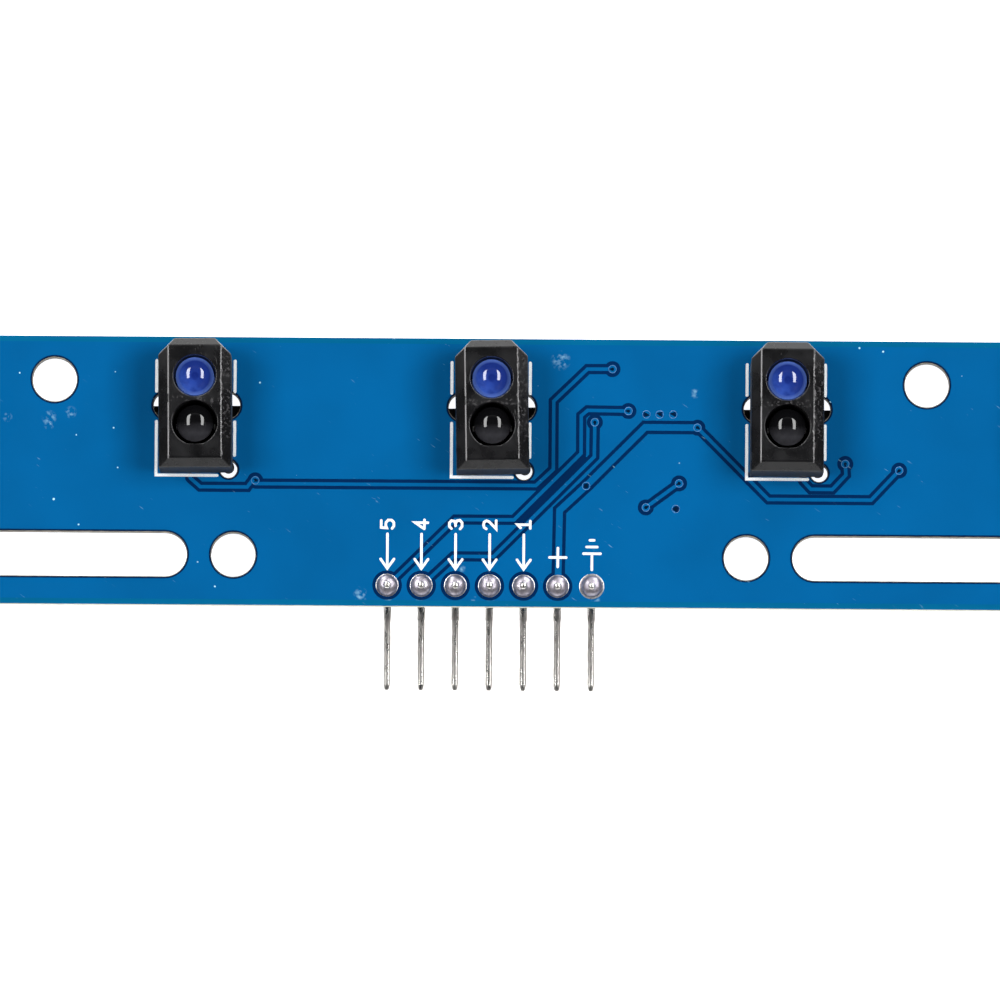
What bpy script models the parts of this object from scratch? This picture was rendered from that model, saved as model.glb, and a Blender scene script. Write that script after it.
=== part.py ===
"""Five-channel line-tracking sensor bar: the infrared eyes of a line follower robot on one circuit board.

Dimensions are in millimetres and are turned into metres where a mesh is made. Board coordinates have
their zero at the middle of the board's underside: +X along the board, +Y away from the header pins,
+Z out of the sensor side. The object's own origin is the bottom centre of its bounding box.
"""
import math

import bmesh
import bpy
from mathutils import Matrix, Vector
from mathutils.geometry import delaunay_2d_cdt

MM = 0.001
OBJECT_NAME = "line_tracking_sensor_bar"

# Board
BOARD_LENGTH = 100.0
BOARD_WIDTH = 20.0
BOARD_THICKNESS = 1.6
BOARD_CORNER_RADIUS = 0.5
SCREW_HOLE_RADIUS = 1.7
REAR_SCREW_HOLE = (32.5, 6.75)
FRONT_SCREW_HOLE = (19.1, -6.25)
SLOT_RADIUS = 1.7
SLOT_Y = -6.25
SLOT_INNER_X = 24.2
SLOT_OUTER_X = 43.3

# The gap that each piece keeps to the one it touches in life
SEAT_GAP = 0.3

# Reflective sensors: a housing that holds an infrared emitter and a detector.
# Heights are measured from the sensor side of the board.
SENSOR_PITCH = 22.0
SENSOR_COUNT = 5
SENSOR_Y = 4.88
SENSOR_SEAT_TURN = {-1: 0.6, 0: 1.2}
HOUSING_WIDTH = 5.42
HOUSING_REAR = 4.57
HOUSING_FRONT = 5.05
HOUSING_HEIGHT = 7.0
BEVEL_HEIGHT = 0.7
SIDE_BEVEL = 0.74
REAR_BEVEL = 0.57
FRONT_BEVEL = 0.71
CORNER_CHAMFER = 1.22
EYE_SPACING = 3.5
WELL_RADIUS = {"emitter": 1.56, "detector": 1.66}
WELL_FLOOR = 2.0
LENS_RADIUS = {"emitter": 1.42, "detector": 1.36}
LENS_TOP = 6.45
LEAD_SPACING = 2.54
LEAD_SIDE = 0.45
LEAD_HOLE_RADIUS = 0.42
LEAD_ROOT = 0.4
BOARD_LEAD_HOLE_RADIUS = 0.48
HOOK_HOLE_X = 2.22
HOOK_HOLE_RADIUS = 1.1
HOOK_ROOT_X = (1.95, 2.6)
HOOK_BARB_X = 3.35
HOOK_WIDTH = 0.72
HOOK_SLOPE = 0.75
HOUSING_FOOT_ROOT = 0.8
PEG_HOLE = (2.4, -4.75)
PEG_HOLE_RADIUS = 0.7
PEG = (2.2, -4.55)
PEG_RADIUS = 0.32
TAIL_BELOW_BOARD = 1.2
CUT_MARGIN = 1.0

# Header: seven square pins through a plastic block under the board, bent out past its front edge
PIN_COUNT = 7
PIN_PITCH = 2.54
PIN_ROW_Y = -8.45
PIN_SIDE = 0.6
PIN_HOLE_RADIUS = 0.5
PIN_BEND_RADIUS = 0.85
PIN_BEND_CLEARANCE = 0.1
PIN_OVERHANG = 6.0
PIN_ABOVE_BOARD = 0.75
PIN_TIP_LENGTH = 0.45
PIN_TIP_SCALE = 0.45
BLOCK_SIDE = 2.54
BLOCK_NOTCH = 0.45

# Component side
IC_CENTRE = (10.6, 0.9)
IC_BODY = (3.9, 8.65, 1.45)
IC_STANDOFF = 0.15
IC_UPPER_DRAFT = 0.96
IC_LOWER_DRAFT = 0.94
IC_LEADS_A_SIDE = 7
IC_LEAD_PITCH = 1.27
IC_LEAD_WIDTH = 0.41
IC_LEAD_THICKNESS = 0.2
IC_LEAD_REACH = 3.0
IC_LEAD_ROOT = 0.3
IC_LEAD_KNEE = 0.25
IC_LEAD_HEEL = 0.4
CHIP_SIZE = (2.0, 1.25)
CHIP_COLUMN = 6.0
RESISTOR_HEIGHT = 0.5
RESISTOR_Y = (7.2, 4.6, 2.0)
INDICATOR_Y = -1.2
INDICATOR_BASE = 0.35
INDICATOR_HEIGHT = 0.8
INDICATOR_LENS_SHARE = 0.6
INDICATOR_LENS_DRAFT = 0.85
CAPACITOR_HEIGHT = 0.9
CAPACITOR_PLACES = {"filter_capacitor": (4.6, -2.9), "supply_capacitor": (16.0, -4.0)}
CHIP_EDGE_BEVEL = 0.06
JOIN_OVERLAP = 0.01
SMOOTH_ANGLE = 35

BLOCK_BOTTOM = -BLOCK_SIDE
BLOCK_HEIGHT = BLOCK_SIDE - SEAT_GAP
PIN_RUN_Z = BLOCK_BOTTOM - PIN_BEND_CLEARANCE - PIN_BEND_RADIUS
TAIL_END = -(BOARD_THICKNESS + TAIL_BELOW_BOARD)
PIN_TIP_Y = -BOARD_WIDTH / 2 - PIN_OVERHANG
ORIGIN_IN_BOARD = (0.0, (BOARD_WIDTH / 2 + PIN_TIP_Y) / 2, PIN_RUN_Z - PIN_SIDE / 2)
CHANNELS = range(-(SENSOR_COUNT // 2), SENSOR_COUNT // 2 + 1)

COLOURS = {
    "board": ((0.0, 0.13, 0.38, 1.0), 0.35, 0.0),
    "housing": ((0.012, 0.012, 0.014, 1.0), 0.5, 0.0),
    "emitter": ((0.01, 0.04, 0.5, 1.0), 0.1, 0.0),
    "detector": ((0.01, 0.01, 0.012, 1.0), 0.1, 0.0),
    "header_plastic": ((0.015, 0.015, 0.016, 1.0), 0.5, 0.0),
    "tinned": ((0.62, 0.6, 0.58, 1.0), 0.3, 1.0),
    "ic": ((0.03, 0.03, 0.032, 1.0), 0.6, 0.0),
    "resistor": ((0.02, 0.02, 0.025, 1.0), 0.4, 0.0),
    "capacitor": ((0.45, 0.28, 0.14, 1.0), 0.5, 0.0),
    "indicator": ((0.8, 0.75, 0.6, 1.0), 0.3, 0.0),
}


# ------------------------------------------------------------------ collections, materials, helpers
def clear_scene():
    for obj in list(bpy.data.objects):
        bpy.data.objects.remove(obj)


def make_collection(name):
    collection = bpy.data.collections.new(name)
    bpy.context.scene.collection.children.link(collection)
    return collection


def make_material(name):
    colour, roughness, metallic = COLOURS[name]
    material = bpy.data.materials.new(name)
    material.use_nodes = True
    shader = material.node_tree.nodes["Principled BSDF"]
    shader.inputs["Base Color"].default_value = colour
    shader.inputs["Roughness"].default_value = roughness
    shader.inputs["Metallic"].default_value = metallic
    return material


def circle(centre, radius, steps):
    turn = 2 * math.pi / steps
    return [
        (centre[0] + radius * math.cos(i * turn), centre[1] + radius * math.sin(i * turn))
        for i in range(steps)
    ]


def arc(centre, radius, start_deg, end_deg, steps):
    span = math.radians(end_deg - start_deg)
    first = math.radians(start_deg)
    return [
        (
            centre[0] + radius * math.cos(first + span * i / steps),
            centre[1] + radius * math.sin(first + span * i / steps),
        )
        for i in range(steps + 1)
    ]


def evaluated_mesh(obj):
    """The object's mesh with its modifiers applied and loose caps welded; the object is removed."""
    bpy.context.view_layer.update()
    graph = bpy.context.evaluated_depsgraph_get()
    mesh = bpy.data.meshes.new_from_object(obj.evaluated_get(graph))
    mesh.transform(obj.matrix_world)
    bm = bmesh.new()
    bm.from_mesh(mesh)
    bmesh.ops.remove_doubles(bm, verts=bm.verts, dist=1e-7)
    bmesh.ops.recalc_face_normals(bm, faces=bm.faces)
    bm.to_mesh(mesh)
    bm.free()
    bpy.data.objects.remove(obj)
    return mesh


def plate_mesh(outlines, thickness, turn=Matrix.Identity(4)):
    """A flat outline, with holes where outlines nest, of this thickness about its own plane."""
    curve = bpy.data.curves.new("outline", "CURVE")
    curve.dimensions = "2D"
    curve.fill_mode = "BOTH"
    curve.extrude = thickness / 2 * MM
    for outline in outlines:
        spline = curve.splines.new("POLY")
        spline.points.add(len(outline) - 1)
        for point, (x, y) in zip(spline.points, outline):
            point.co = (x * MM, y * MM, 0.0, 1.0)
        spline.use_cyclic_u = True
    obj = bpy.data.objects.new("outline", curve)
    obj.matrix_world = turn
    cutters.objects.link(obj)
    mesh = evaluated_mesh(obj)
    bpy.data.curves.remove(curve)
    return mesh


def box_mesh(size, centre, top_scale=1.0):
    """A box; top_scale narrows its upper face."""
    bm = bmesh.new()
    bmesh.ops.create_cube(bm, size=1.0)
    for vert in bm.verts:
        narrow = top_scale if vert.co.z > 0 else 1.0
        vert.co.x *= size[0] * narrow
        vert.co.y *= size[1] * narrow
        vert.co.z *= size[2]
        vert.co = (vert.co + Vector(centre)) * MM
    return finished(bm, "box")


def rod_mesh(radius, low, high, place=(0.0, 0.0), steps=24):
    bm = bmesh.new()
    bmesh.ops.create_cone(
        bm, cap_ends=True, segments=steps, radius1=radius * MM, radius2=radius * MM, depth=(high - low) * MM
    )
    middle = Vector((place[0], place[1], (low + high) / 2)) * MM
    bmesh.ops.translate(bm, verts=bm.verts, vec=middle)
    return finished(bm, "rod")


def finished(bm, name):
    mesh = bpy.data.meshes.new(name)
    bm.to_mesh(mesh)
    bm.free()
    return mesh


def gathered(meshes):
    """Several meshes in one, still as separate shells: used as a cutter or an addition."""
    bm = bmesh.new()
    for mesh in meshes:
        bm.from_mesh(mesh)
    return finished(bm, "shells")


def combined(base, cut=(), add=()):
    """The base mesh with shells cut from it and then shells joined to it."""
    body = bpy.data.objects.new("work", base)
    cutters.objects.link(body)
    helpers = []
    for operation, meshes in (("DIFFERENCE", cut), ("UNION", add)):
        for mesh in meshes:
            helper = bpy.data.objects.new("work_" + operation.lower(), mesh)
            cutters.objects.link(helper)
            boolean = body.modifiers.new(operation.lower(), "BOOLEAN")
            boolean.operation = operation
            boolean.object = helper
            helpers.append(helper)
    mesh = evaluated_mesh(body)
    for helper in helpers:
        bpy.data.objects.remove(helper)
    return mesh


def turned_mesh(profile, steps):
    """A closed shape turned about Z from a profile that runs down its outer side."""
    mesh = bpy.data.meshes.new("profile")
    points = [(x * MM, 0.0, z * MM) for x, z in profile]
    mesh.from_pydata(points, [(i, i + 1) for i in range(len(points) - 1)], [])
    obj = bpy.data.objects.new("profile", mesh)
    cutters.objects.link(obj)
    screw = obj.modifiers.new("turn", "SCREW")
    screw.steps = steps
    screw.render_steps = steps
    screw.use_merge_vertices = True
    screw.merge_threshold = 1e-6
    return evaluated_mesh(obj)


def add_part(name, mesh, material, place=(0.0, 0.0, 0.0), turn_deg=0.0, smooth=False):
    obj = bpy.data.objects.new(name, mesh)
    parts.objects.link(obj)
    obj.parent = board_frame
    obj.location = Vector(place) * MM
    obj.rotation_euler.z = math.radians(turn_deg)
    if smooth:
        mesh.shade_smooth()
        mesh.set_sharp_from_angle(angle=math.radians(SMOOTH_ANGLE))
    if not mesh.materials:
        mesh.materials.append(materials[material])
    return obj


# --------------------------------------------------------------------------------------- the board
def sensor_x(channel):
    return channel * SENSOR_PITCH


def seat_turn(channel):
    """Each sensor sits a little askew in its holes; the unseen outer ones sit square."""
    return SENSOR_SEAT_TURN.get(channel, 0.0)


def board_corners():
    x = BOARD_LENGTH / 2 - BOARD_CORNER_RADIUS
    y = BOARD_WIDTH / 2 - BOARD_CORNER_RADIUS
    outline = []
    for centre, start in (((x, y), 0), ((-x, y), 90), ((-x, -y), 180), ((x, -y), 270)):
        outline += arc(centre, BOARD_CORNER_RADIUS, start, start + 90, 4)
    return outline


def slot_outline(side):
    inner = arc((side * SLOT_INNER_X, SLOT_Y), SLOT_RADIUS, 90, 90 + side * 180, 12)
    outer = arc((side * SLOT_OUTER_X, SLOT_Y), SLOT_RADIUS, 90 + side * 180, 90 + side * 360, 12)
    return inner + outer


def screw_places():
    return [(side * x, y) for side in (-1, 1) for x, y in (REAR_SCREW_HOLE, FRONT_SCREW_HOLE)]


def sensor_holes(channel):
    middle_x = sensor_x(channel)
    holes = [circle((middle_x + PEG_HOLE[0], SENSOR_Y + PEG_HOLE[1]), PEG_HOLE_RADIUS, 14)]
    for side in (-1, 1):
        holes.append(circle((middle_x + side * HOOK_HOLE_X, SENSOR_Y), HOOK_HOLE_RADIUS, 20))
        for eye in (-1, 1):
            lead = (middle_x + side * LEAD_SPACING / 2, SENSOR_Y + eye * EYE_SPACING / 2)
            holes.append(circle(lead, BOARD_LEAD_HOLE_RADIUS, 10))
    return holes


def pin_x(number):
    return (number - (PIN_COUNT + 1) / 2) * PIN_PITCH


def encloses(outline, x, y):
    """Whether the point lies within the closed outline, by counting the edges to its right."""
    crossings = 0
    for (ax, ay), (bx, by) in zip(outline, outline[1:] + outline[:1]):
        if (ay > y) != (by > y) and x < ax + (y - ay) * (bx - ax) / (by - ay):
            crossings += 1
    return crossings % 2 == 1


def board_sheet(border, holes):
    """The board as a flat sheet of compact triangles between its border and its holes."""
    points, edges = [], []
    for outline in [border, *holes]:
        first, count = len(points), len(outline)
        points += [Vector(point) for point in outline]
        edges += [(first + i, first + (i + 1) % count) for i in range(count)]
    corners, _, triangles, _, _, _ = delaunay_2d_cdt(points, edges, [], 1, 1e-6)
    kept = []
    for triangle in triangles:
        x = sum(corners[i].x for i in triangle) / 3
        y = sum(corners[i].y for i in triangle) / 3
        if not any(encloses(hole, x, y) for hole in holes):
            kept.append(triangle)
    mesh = bpy.data.meshes.new("board_sheet")
    mesh.from_pydata([(corner.x * MM, corner.y * MM, 0.0) for corner in corners], [], kept)
    return mesh


def thickened(sheet, thickness):
    """The flat sheet made solid downwards."""
    obj = bpy.data.objects.new("sheet", sheet)
    cutters.objects.link(obj)
    solidify = obj.modifiers.new("thickness", "SOLIDIFY")
    solidify.thickness = thickness * MM
    solidify.offset = -1.0
    return evaluated_mesh(obj)


def build_board():
    holes = [slot_outline(side) for side in (-1, 1)]
    holes += [circle(place, SCREW_HOLE_RADIUS, 28) for place in screw_places()]
    for channel in CHANNELS:
        holes += sensor_holes(channel)
    for number in range(1, PIN_COUNT + 1):
        holes.append(circle((pin_x(number), PIN_ROW_Y), PIN_HOLE_RADIUS, 12))
    board = thickened(board_sheet(board_corners(), holes), BOARD_THICKNESS)
    add_part("circuit_board", board, "board", (0.0, 0.0, BOARD_THICKNESS))


# ------------------------------------------------------------------------------------- the sensors
# Sensor coordinates have their zero on the sensor side of the board, midway between the two hooks.
def housing_block():
    """The outer block: straight walls, a bevelled top and two corners cut off at the rear."""
    wall = HOUSING_HEIGHT - BEVEL_HEIGHT - SEAT_GAP
    length = HOUSING_REAR + HOUSING_FRONT
    bm = bmesh.new()
    bmesh.ops.create_cube(bm, size=1.0)
    bmesh.ops.scale(bm, verts=bm.verts, vec=(HOUSING_WIDTH, length, wall))
    bmesh.ops.translate(bm, verts=bm.verts, vec=(0.0, HOUSING_REAR - length / 2, SEAT_GAP + wall / 2))
    bm.normal_update()
    top = [face for face in bm.faces if face.normal.z > 0.9]
    raised = bmesh.ops.extrude_face_region(bm, geom=top)["geom"]
    top_verts = [item for item in raised if isinstance(item, bmesh.types.BMVert)]
    bmesh.ops.delete(bm, geom=top, context="FACES_ONLY")
    for vert in top_verts:
        vert.co.x += SIDE_BEVEL if vert.co.x < 0 else -SIDE_BEVEL
        vert.co.y += FRONT_BEVEL if vert.co.y < 0 else -REAR_BEVEL
        vert.co.z += BEVEL_HEIGHT
    for side in (-1, 1):
        corner = Vector((side * HOUSING_WIDTH / 2, HOUSING_REAR - CORNER_CHAMFER, 0.0))
        cut = bmesh.ops.bisect_plane(
            bm,
            geom=bm.verts[:] + bm.edges[:] + bm.faces[:],
            plane_co=corner,
            plane_no=Vector((side, 1.0, 0.0)).normalized(),
            clear_outer=True,
        )["geom_cut"]
        bmesh.ops.edgeloop_fill(bm, edges=[item for item in cut if isinstance(item, bmesh.types.BMEdge)])
    bmesh.ops.scale(bm, verts=bm.verts, vec=(MM, MM, MM))
    bmesh.ops.recalc_face_normals(bm, faces=bm.faces)
    return finished(bm, "housing_block")


def hook_mesh(side):
    """A sprung prong through the board with a barb under its edge."""
    catch = -(BOARD_THICKNESS + SEAT_GAP)
    inner, outer = HOOK_ROOT_X
    outline = [
        (inner, HOUSING_FOOT_ROOT), (inner, TAIL_END), (outer, TAIL_END),
        (HOOK_BARB_X, TAIL_END + HOOK_SLOPE), (HOOK_BARB_X, catch), (outer, catch),
        (outer, HOUSING_FOOT_ROOT),
    ]
    stand_up = Matrix.Rotation(math.pi / 2, 4, "X")
    return plate_mesh([[(side * x, z) for x, z in outline]], HOOK_WIDTH, stand_up)


def eye_y(kind):
    return EYE_SPACING / 2 if kind == "emitter" else -EYE_SPACING / 2


def lead_places():
    return [(side * LEAD_SPACING / 2, eye_y(kind)) for kind in LENS_RADIUS for side in (-1, 1)]


def housing_mesh():
    wells = [
        rod_mesh(radius, WELL_FLOOR, HOUSING_HEIGHT + CUT_MARGIN, (0.0, eye_y(kind)), 28)
        for kind, radius in WELL_RADIUS.items()
    ]
    lead_holes = [
        rod_mesh(LEAD_HOLE_RADIUS, -CUT_MARGIN, WELL_FLOOR + CUT_MARGIN, place, 10)
        for place in lead_places()
    ]
    peg = rod_mesh(PEG_RADIUS, -BOARD_THICKNESS, HOUSING_FOOT_ROOT, PEG, 10)
    return combined(
        housing_block(),
        cut=[*wells, gathered(lead_holes)],
        add=[gathered([hook_mesh(-1), hook_mesh(1), peg])],
    )


def eye_mesh(kind):
    """A domed epoxy lens with its two leads, about the eye's own axis."""
    radius = LENS_RADIUS[kind]
    foot = WELL_FLOOR + SEAT_GAP
    dome = arc((0.0, LENS_TOP - radius), radius, 90, 0, 7)
    dome[0] = (0.0, LENS_TOP)
    lens = turned_mesh(dome + [(radius, foot), (0.0, foot)], 20)
    lead_top = foot + LEAD_ROOT
    leads = [
        box_mesh(
            (LEAD_SIDE, LEAD_SIDE, lead_top - TAIL_END),
            (side * LEAD_SPACING / 2, 0.0, (lead_top + TAIL_END) / 2),
        )
        for side in (-1, 1)
    ]
    return combined(lens, add=[gathered(leads)])


def build_sensors():
    housing = housing_mesh()
    eyes = {kind: eye_mesh(kind) for kind in LENS_RADIUS}
    for number, channel in enumerate(CHANNELS, start=1):
        turn = seat_turn(channel)
        seat = Vector((sensor_x(channel), SENSOR_Y, BOARD_THICKNESS))
        add_part(f"sensor_{number}_housing", housing, "housing", seat, turn)
        for kind, mesh in eyes.items():
            offset = Matrix.Rotation(math.radians(turn), 3, "Z") @ Vector((0.0, eye_y(kind), 0.0))
            add_part(f"sensor_{number}_{kind}", mesh, kind, seat + offset, turn, smooth=True)


# -------------------------------------------------------------------------------------- the header
def pin_mesh():
    """A square pin: up through the block and the board, and bent forward under the block."""
    half = PIN_SIDE / 2
    bend_y = PIN_ROW_Y - PIN_BEND_RADIUS
    bend_z = PIN_RUN_Z + PIN_BEND_RADIUS
    top = BOARD_THICKNESS + PIN_ABOVE_BOARD
    outer = arc((bend_y, bend_z), PIN_BEND_RADIUS + half, 0, -90, 6)
    inner = arc((bend_y, bend_z), PIN_BEND_RADIUS - half, -90, 0, 6)
    shoulder = PIN_TIP_Y + PIN_TIP_LENGTH
    narrow = half * PIN_TIP_SCALE
    outline = (
        [(PIN_ROW_Y - narrow, top), (PIN_ROW_Y + narrow, top), (PIN_ROW_Y + half, top - PIN_TIP_LENGTH)]
        + outer
        + [(shoulder, PIN_RUN_Z - half), (PIN_TIP_Y, PIN_RUN_Z - narrow)]
        + [(PIN_TIP_Y, PIN_RUN_Z + narrow), (shoulder, PIN_RUN_Z + half)]
        + inner
        + [(PIN_ROW_Y - half, top - PIN_TIP_LENGTH)]
    )
    side_on = Matrix.Rotation(math.pi / 2, 4, "Z") @ Matrix.Rotation(math.pi / 2, 4, "X")
    mesh = plate_mesh([outline], PIN_SIDE, side_on)
    for vert in mesh.vertices:
        if vert.co.y < (PIN_TIP_Y + 0.01) * MM or vert.co.z > (top - 0.01) * MM:
            vert.co.x *= PIN_TIP_SCALE
    return mesh


def block_mesh():
    """The plastic block: a bar notched between its positions, with a square passage for each pin."""
    half = BLOCK_SIDE / 2
    ends = PIN_COUNT * PIN_PITCH / 2
    front, back = [], []
    for number in range(PIN_COUNT + 1):
        x = -ends + number * PIN_PITCH
        if number == 0:
            front += [(x, -half + BLOCK_NOTCH), (x + BLOCK_NOTCH, -half)]
            back += [(x, half - BLOCK_NOTCH), (x + BLOCK_NOTCH, half)]
        elif number == PIN_COUNT:
            front += [(x - BLOCK_NOTCH, -half), (x, -half + BLOCK_NOTCH)]
            back += [(x - BLOCK_NOTCH, half), (x, half - BLOCK_NOTCH)]
        else:
            front += [(x - BLOCK_NOTCH, -half), (x, -half + BLOCK_NOTCH), (x + BLOCK_NOTCH, -half)]
            back += [(x - BLOCK_NOTCH, half), (x, half - BLOCK_NOTCH), (x + BLOCK_NOTCH, half)]
    passage = PIN_SIDE / 2 + SEAT_GAP
    square = [(-passage, -passage), (passage, -passage), (passage, passage), (-passage, passage)]
    passages = [
        [(pin_x(number) + x, y) for x, y in square] for number in range(1, PIN_COUNT + 1)
    ]
    return plate_mesh([front + back[::-1], *passages], BLOCK_HEIGHT)


def build_header():
    block_centre = (0.0, PIN_ROW_Y, BLOCK_BOTTOM + BLOCK_HEIGHT / 2)
    add_part("header_block", block_mesh(), "header_plastic", block_centre)
    pin = pin_mesh()
    for number in range(1, PIN_COUNT + 1):
        add_part(f"header_pin_{number}", pin, "tinned", (pin_x(number), 0.0, 0.0))


# ------------------------------------------------------------------------------- the component side
def ic_waist():
    """The level of the package's parting line, where its leads come out."""
    return -(SEAT_GAP + IC_STANDOFF + IC_BODY[2] / 2)


def ic_lead_mesh(side, row):
    """One gull-wing lead: out of the body's waist, down to the board and out flat along it."""
    half = IC_LEAD_THICKNESS / 2
    waist = ic_waist()
    foot = -(SEAT_GAP + half)
    root = IC_BODY[0] / 2 - IC_LEAD_ROOT
    knee = IC_BODY[0] / 2 + IC_LEAD_KNEE
    heel = IC_BODY[0] / 2 + IC_LEAD_HEEL
    outline = [
        (root, waist + half), (knee - half, waist + half),
        (heel - half, foot + half), (IC_LEAD_REACH, foot + half),
        (IC_LEAD_REACH, foot - half), (heel + half, foot - half),
        (knee + half, waist - half), (root, waist - half),
    ]
    y = (row - (IC_LEADS_A_SIDE - 1) / 2) * IC_LEAD_PITCH
    upright = Matrix.Translation((0.0, y * MM, 0.0)) @ Matrix.Rotation(math.pi / 2, 4, "X")
    return plate_mesh([[(side * x, z) for x, z in outline]], IC_LEAD_WIDTH, upright)


def turned_over(mesh, height):
    """The mesh turned upside down about X, with its old base an overlap above this height."""
    base = Matrix.Translation((0.0, 0.0, (height + JOIN_OVERLAP) * MM))
    mesh.transform(base @ Matrix.Rotation(math.pi, 4, "X"))
    return mesh


def build_ic():
    depth = IC_BODY[2] / 2
    half_body = (IC_BODY[0], IC_BODY[1], depth)
    body = combined(
        box_mesh(half_body, (0.0, 0.0, ic_waist() + depth / 2), IC_UPPER_DRAFT),
        add=[turned_over(box_mesh(half_body, (0.0, 0.0, depth / 2), IC_LOWER_DRAFT), ic_waist())],
    )
    leads = [ic_lead_mesh(side, row) for side in (-1, 1) for row in range(IC_LEADS_A_SIDE)]
    add_part("logic_ic", combined(body, add=[gathered(leads)]), "ic", (*IC_CENTRE, 0.0))


def chip_mesh(height):
    bm = bmesh.new()
    bmesh.ops.create_cube(bm, size=1.0)
    bmesh.ops.scale(bm, verts=bm.verts, vec=Vector((*CHIP_SIZE, height)) * MM)
    bmesh.ops.bevel(bm, geom=bm.edges[:], offset=CHIP_EDGE_BEVEL * MM, segments=1, affect="EDGES")
    return finished(bm, "chip")


def indicator_mesh():
    """A chip indicator light: a flat base and a moulded lens narrower than it."""
    base = box_mesh((*CHIP_SIZE, INDICATOR_BASE), (0.0, 0.0, -SEAT_GAP - INDICATOR_BASE / 2))
    length, width = CHIP_SIZE
    height = INDICATOR_HEIGHT - INDICATOR_BASE
    lens_size = (length * INDICATOR_LENS_SHARE, width, height)
    lens = box_mesh(lens_size, (0.0, 0.0, height / 2), INDICATOR_LENS_DRAFT)
    return combined(base, add=[turned_over(lens, -SEAT_GAP - INDICATOR_BASE)])


def chip_column(channel):
    """The chips of a channel stand to the left of its sensor, or to the right at the left-hand end."""
    side = 1 if channel == CHANNELS[0] else -1
    return sensor_x(channel) + side * CHIP_COLUMN


def build_chips():
    under = -SEAT_GAP
    resistor = chip_mesh(RESISTOR_HEIGHT)
    capacitor = chip_mesh(CAPACITOR_HEIGHT)
    indicator = indicator_mesh()
    for number, channel in enumerate(CHANNELS, start=1):
        x = chip_column(channel)
        for letter, y in zip("abc", RESISTOR_Y):
            add_part(f"resistor_{number}{letter}", resistor, "resistor", (x, y, under - RESISTOR_HEIGHT / 2))
        add_part(f"indicator_light_{number}", indicator, "indicator", (x, INDICATOR_Y, 0.0))
    for name, (x, y) in CAPACITOR_PLACES.items():
        add_part(name, capacitor, "capacitor", (x, y, under - CAPACITOR_HEIGHT / 2))


clear_scene()
parts = make_collection(OBJECT_NAME)
cutters = make_collection("cutters")
materials = {name: make_material(name) for name in COLOURS}
board_frame = bpy.data.objects.new("board_frame", None)
parts.objects.link(board_frame)
board_frame.location = -Vector(ORIGIN_IN_BOARD) * MM

build_board()
build_sensors()
build_header()
build_ic()
build_chips()
bpy.context.view_layer.update()
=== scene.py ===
"""The looks of a five-channel line-tracking sensor bar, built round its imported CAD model.

Lengths are millimetres in board coordinates: zero at the middle of the board's sensor side, +X along the
board, +Y away from the header pins, +Z out of the sensor side. BOARD_FRAME turns them into the model's
own metres. A sensor's own coordinates have their zero on the board, midway between its two hooks.
"""
import math

import bmesh
import bpy
from mathutils import Matrix, Vector, noise
from mathutils.geometry import delaunay_2d_cdt


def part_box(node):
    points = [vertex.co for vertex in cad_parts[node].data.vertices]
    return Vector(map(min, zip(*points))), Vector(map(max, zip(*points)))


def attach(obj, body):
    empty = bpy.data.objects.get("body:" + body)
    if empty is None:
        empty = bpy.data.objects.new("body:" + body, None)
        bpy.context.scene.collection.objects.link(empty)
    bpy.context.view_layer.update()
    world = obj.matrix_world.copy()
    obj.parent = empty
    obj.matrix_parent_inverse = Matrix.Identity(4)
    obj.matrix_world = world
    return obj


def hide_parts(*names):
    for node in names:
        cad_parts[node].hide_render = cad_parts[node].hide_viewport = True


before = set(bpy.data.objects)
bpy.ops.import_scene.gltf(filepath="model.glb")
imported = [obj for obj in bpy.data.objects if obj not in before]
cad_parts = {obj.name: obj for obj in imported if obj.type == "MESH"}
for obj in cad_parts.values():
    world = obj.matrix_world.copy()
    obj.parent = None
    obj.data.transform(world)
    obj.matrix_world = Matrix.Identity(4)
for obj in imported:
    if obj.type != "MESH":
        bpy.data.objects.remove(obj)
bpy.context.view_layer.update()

MM = 0.001
BOARD_LOW, BOARD_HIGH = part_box("circuit_board")
BOARD_FRAME = Matrix.Translation(
    ((BOARD_LOW.x + BOARD_HIGH.x) / 2, (BOARD_LOW.y + BOARD_HIGH.y) / 2, BOARD_HIGH.z)
) @ Matrix.Scale(MM, 4)

# The board
HALF_LENGTH = 50.0
HALF_WIDTH = 10.0
THICKNESS = 1.6
CORNER_RADIUS = 0.5
FOIL = 0.035
MASK_SHEET = 0.12
UNDERSIDE = -THICKNESS
POUR_INSET = 0.42
RIM = 0.06
HOLE_LEDGE = 0.06
TRACK = 0.26
GAP = 0.254
SCREW_RADIUS = 1.7
SCREW_HOLES = [(-32.5, 6.75), (32.5, 6.75), (-19.1, -6.25), (19.1, -6.25)]
SLOT_Y = -6.25
SLOT_ENDS = (24.2, 43.3)
VIA_HOLE = 0.15
VIA_LAND = 0.32
VIA_CLEARANCE = 0.6

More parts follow.
